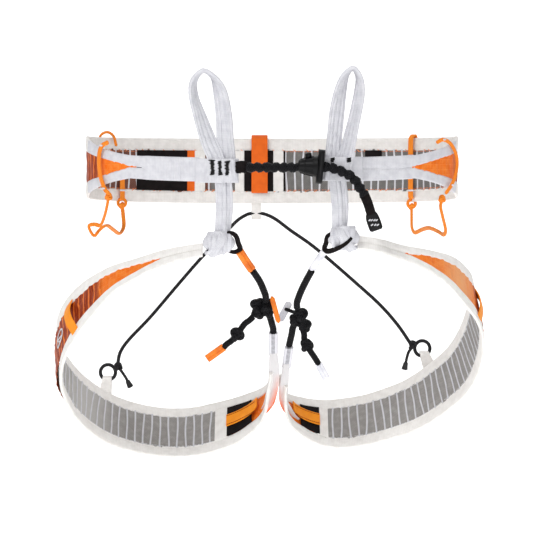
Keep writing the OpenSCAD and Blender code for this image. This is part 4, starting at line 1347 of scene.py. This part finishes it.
def strap_sleeve(name, body):
    """The clear sleeve that joins the lower cord to the end of the inner strap."""
    low = LEGS[name].points[-1] + np.array([0, 0, 0.6])
    top = np.array(STRAP_SLEEVE_TOP[name], float)
    route = top + (low - top) * np.linspace(0, 1, 26)[:, None]
    sleeve = flat(route, (1, 0, 0), (-3.7, 3.7), -1.8, 1.8, cuts=30,
                  dent=lambda u, v: -0.25 * bell(np.abs(v) - 1.9, 0.4))
    build(f"strap_sleeve_{name}_tube", [sleeve], CLEAR_SLEEVE, [f"strap_sleeve_{name}"],
          body=body)


def closure_tail(name, body, sleeve):
    tail = laid(TAIL[name], 0.6)
    cord = build(f"closure_tail_{name}_braid", [tube(tail, 2.45, 20, relief=braid)], BLACK_CORD,
                 [f"closure_tail_{name}"], body=body)
    centre, r = TAIL_KNOT[name]
    knot = build(f"closure_tail_{name}_knot",
                 [trefoil(centre, r * 0.82, 2.5, (15, 30, 40), 18),
                  trefoil(centre, r * 0.5, 2.5, (80, 10, 120), 16)], BLACK_CORD, body=body)
    tip = build(f"tail_end_{name}_sleeve",
                [flat(laid(TAIL_END[name], 0.7, 8), TAIL_ACROSS[name], (-3.2, 3.2), -1.8, 1.8,
                      cuts=30, dent=slit)], sleeve, [f"tail_end_{name}"], body=body)


def toggle(name, material):
    ends = np.array(TOGGLE_ENDS[name], float)
    route = ends[0] + (ends[1] - ends[0]) * np.linspace(0, 1, 30)[:, None]
    half = (2.9 if name == "left" else 2.0) * np.sin(
        np.arccos(np.clip(np.abs(np.linspace(-1.05, 1.05, 30)) ** 6, 0, 0.98)))
    bar = flat(route, (1, 0, 0.3), both(half), -1.35, 1.35, cuts=24,
               dent=lambda u, v: 0.12 * np.sin(u * 2.4) - 0.3 * bell(v, 0.7))
    build(f"toggle_{name}_bar", [bar], material, [f"toggle_{name}"], body=f"toggle_{name}")


def closure(name):
    body = f"leg_loop_{name}"
    sleeve = WHITE_SLEEVE if name == "left" else ORANGE_SLEEVE
    closure_top(name, body, sleeve)
    closure_knot(name, body)
    strap_sleeve(name, body)
    closure_tail(name, body, sleeve)
    toggle(name, sleeve)


# ---- Making the harness ----

for side_name in SIDES:
    closure(side_name)
connector()
belt()
front_straps()
back_of_belt()
rear_strap()
for side_name in SIDES:
    tie_in_loop(side_name)
    cuff(side_name)
    riser(side_name)
    leg_knot(side_name)
    leg_loop(side_name)
    leg_tab(side_name)
    rear_elastic(side_name)
    gear_loop(side_name)
bar_tacks()
leg_badge()
stopper()

# ---- Floor, backdrop and light ----

FLOOR_Z = -0.34


def backdrop():
    """A pale floor that curves up behind into a wall."""
    made, tree, shader, _ = finish_of("pale_studio_paper", "#f6f6f6", 0.9)
    shader.inputs["Emission Color"].default_value = linear("#ffffff")
    shader.inputs["Emission Strength"].default_value = 0.55
    rows = [(-3.0, FLOOR_Z), (1.2, FLOOR_Z)]
    rows += [(1.2 + 1.5 * math.sin(a), FLOOR_Z + 1.5 * (1 - math.cos(a)))
             for a in np.linspace(0.1, math.pi / 2, 16)]
    rows.append((2.7, 4.0))
    verts = [(x, y, z) for y, z in rows for x in (-4.0, 4.0)]
    faces = [(2 * k, 2 * k + 1, 2 * k + 3, 2 * k + 2) for k in range(len(rows) - 1)]
    mesh = bpy.data.meshes.new("backdrop")
    mesh.from_pydata(verts, [], faces)
    mesh.polygons.foreach_set("use_smooth", np.ones(len(mesh.polygons), bool))
    mesh.materials.append(made)
    paper = bpy.data.objects.new("backdrop", mesh)
    bpy.context.scene.collection.objects.link(paper)


backdrop()

world = bpy.data.worlds.new("studio")
bpy.context.scene.world = world
world.use_nodes = True
world.node_tree.nodes["Background"].inputs[0].default_value = linear("#ffffff")
world.node_tree.nodes["Background"].inputs[1].default_value = 0.32


def soft_light(name, place, aim, size, power):
    data = bpy.data.lights.new(name, "AREA")
    data.shape, data.size, data.energy = "SQUARE", size, power
    lamp = bpy.data.objects.new(name, data)
    lamp.location = place
    lamp.rotation_euler = (Vector(aim) - Vector(place)).to_track_quat("-Z", "Y").to_euler()
    bpy.context.scene.collection.objects.link(lamp)


soft_light("key", (-1.1, -1.7, 1.9), (0, 0, -0.08), 0.9, 31)
soft_light("fill", (1.6, -1.5, 0.6), (0, 0, -0.08), 1.3, 4)
soft_light("low", (0.3, -1.7, -0.05), (0, 0, -0.2), 0.5, 4)
soft_light("top", (0.2, 0.5, 2.2), (0, 0, -0.08), 1.5, 13)
bpy.context.scene.view_settings.view_transform = "Standard"
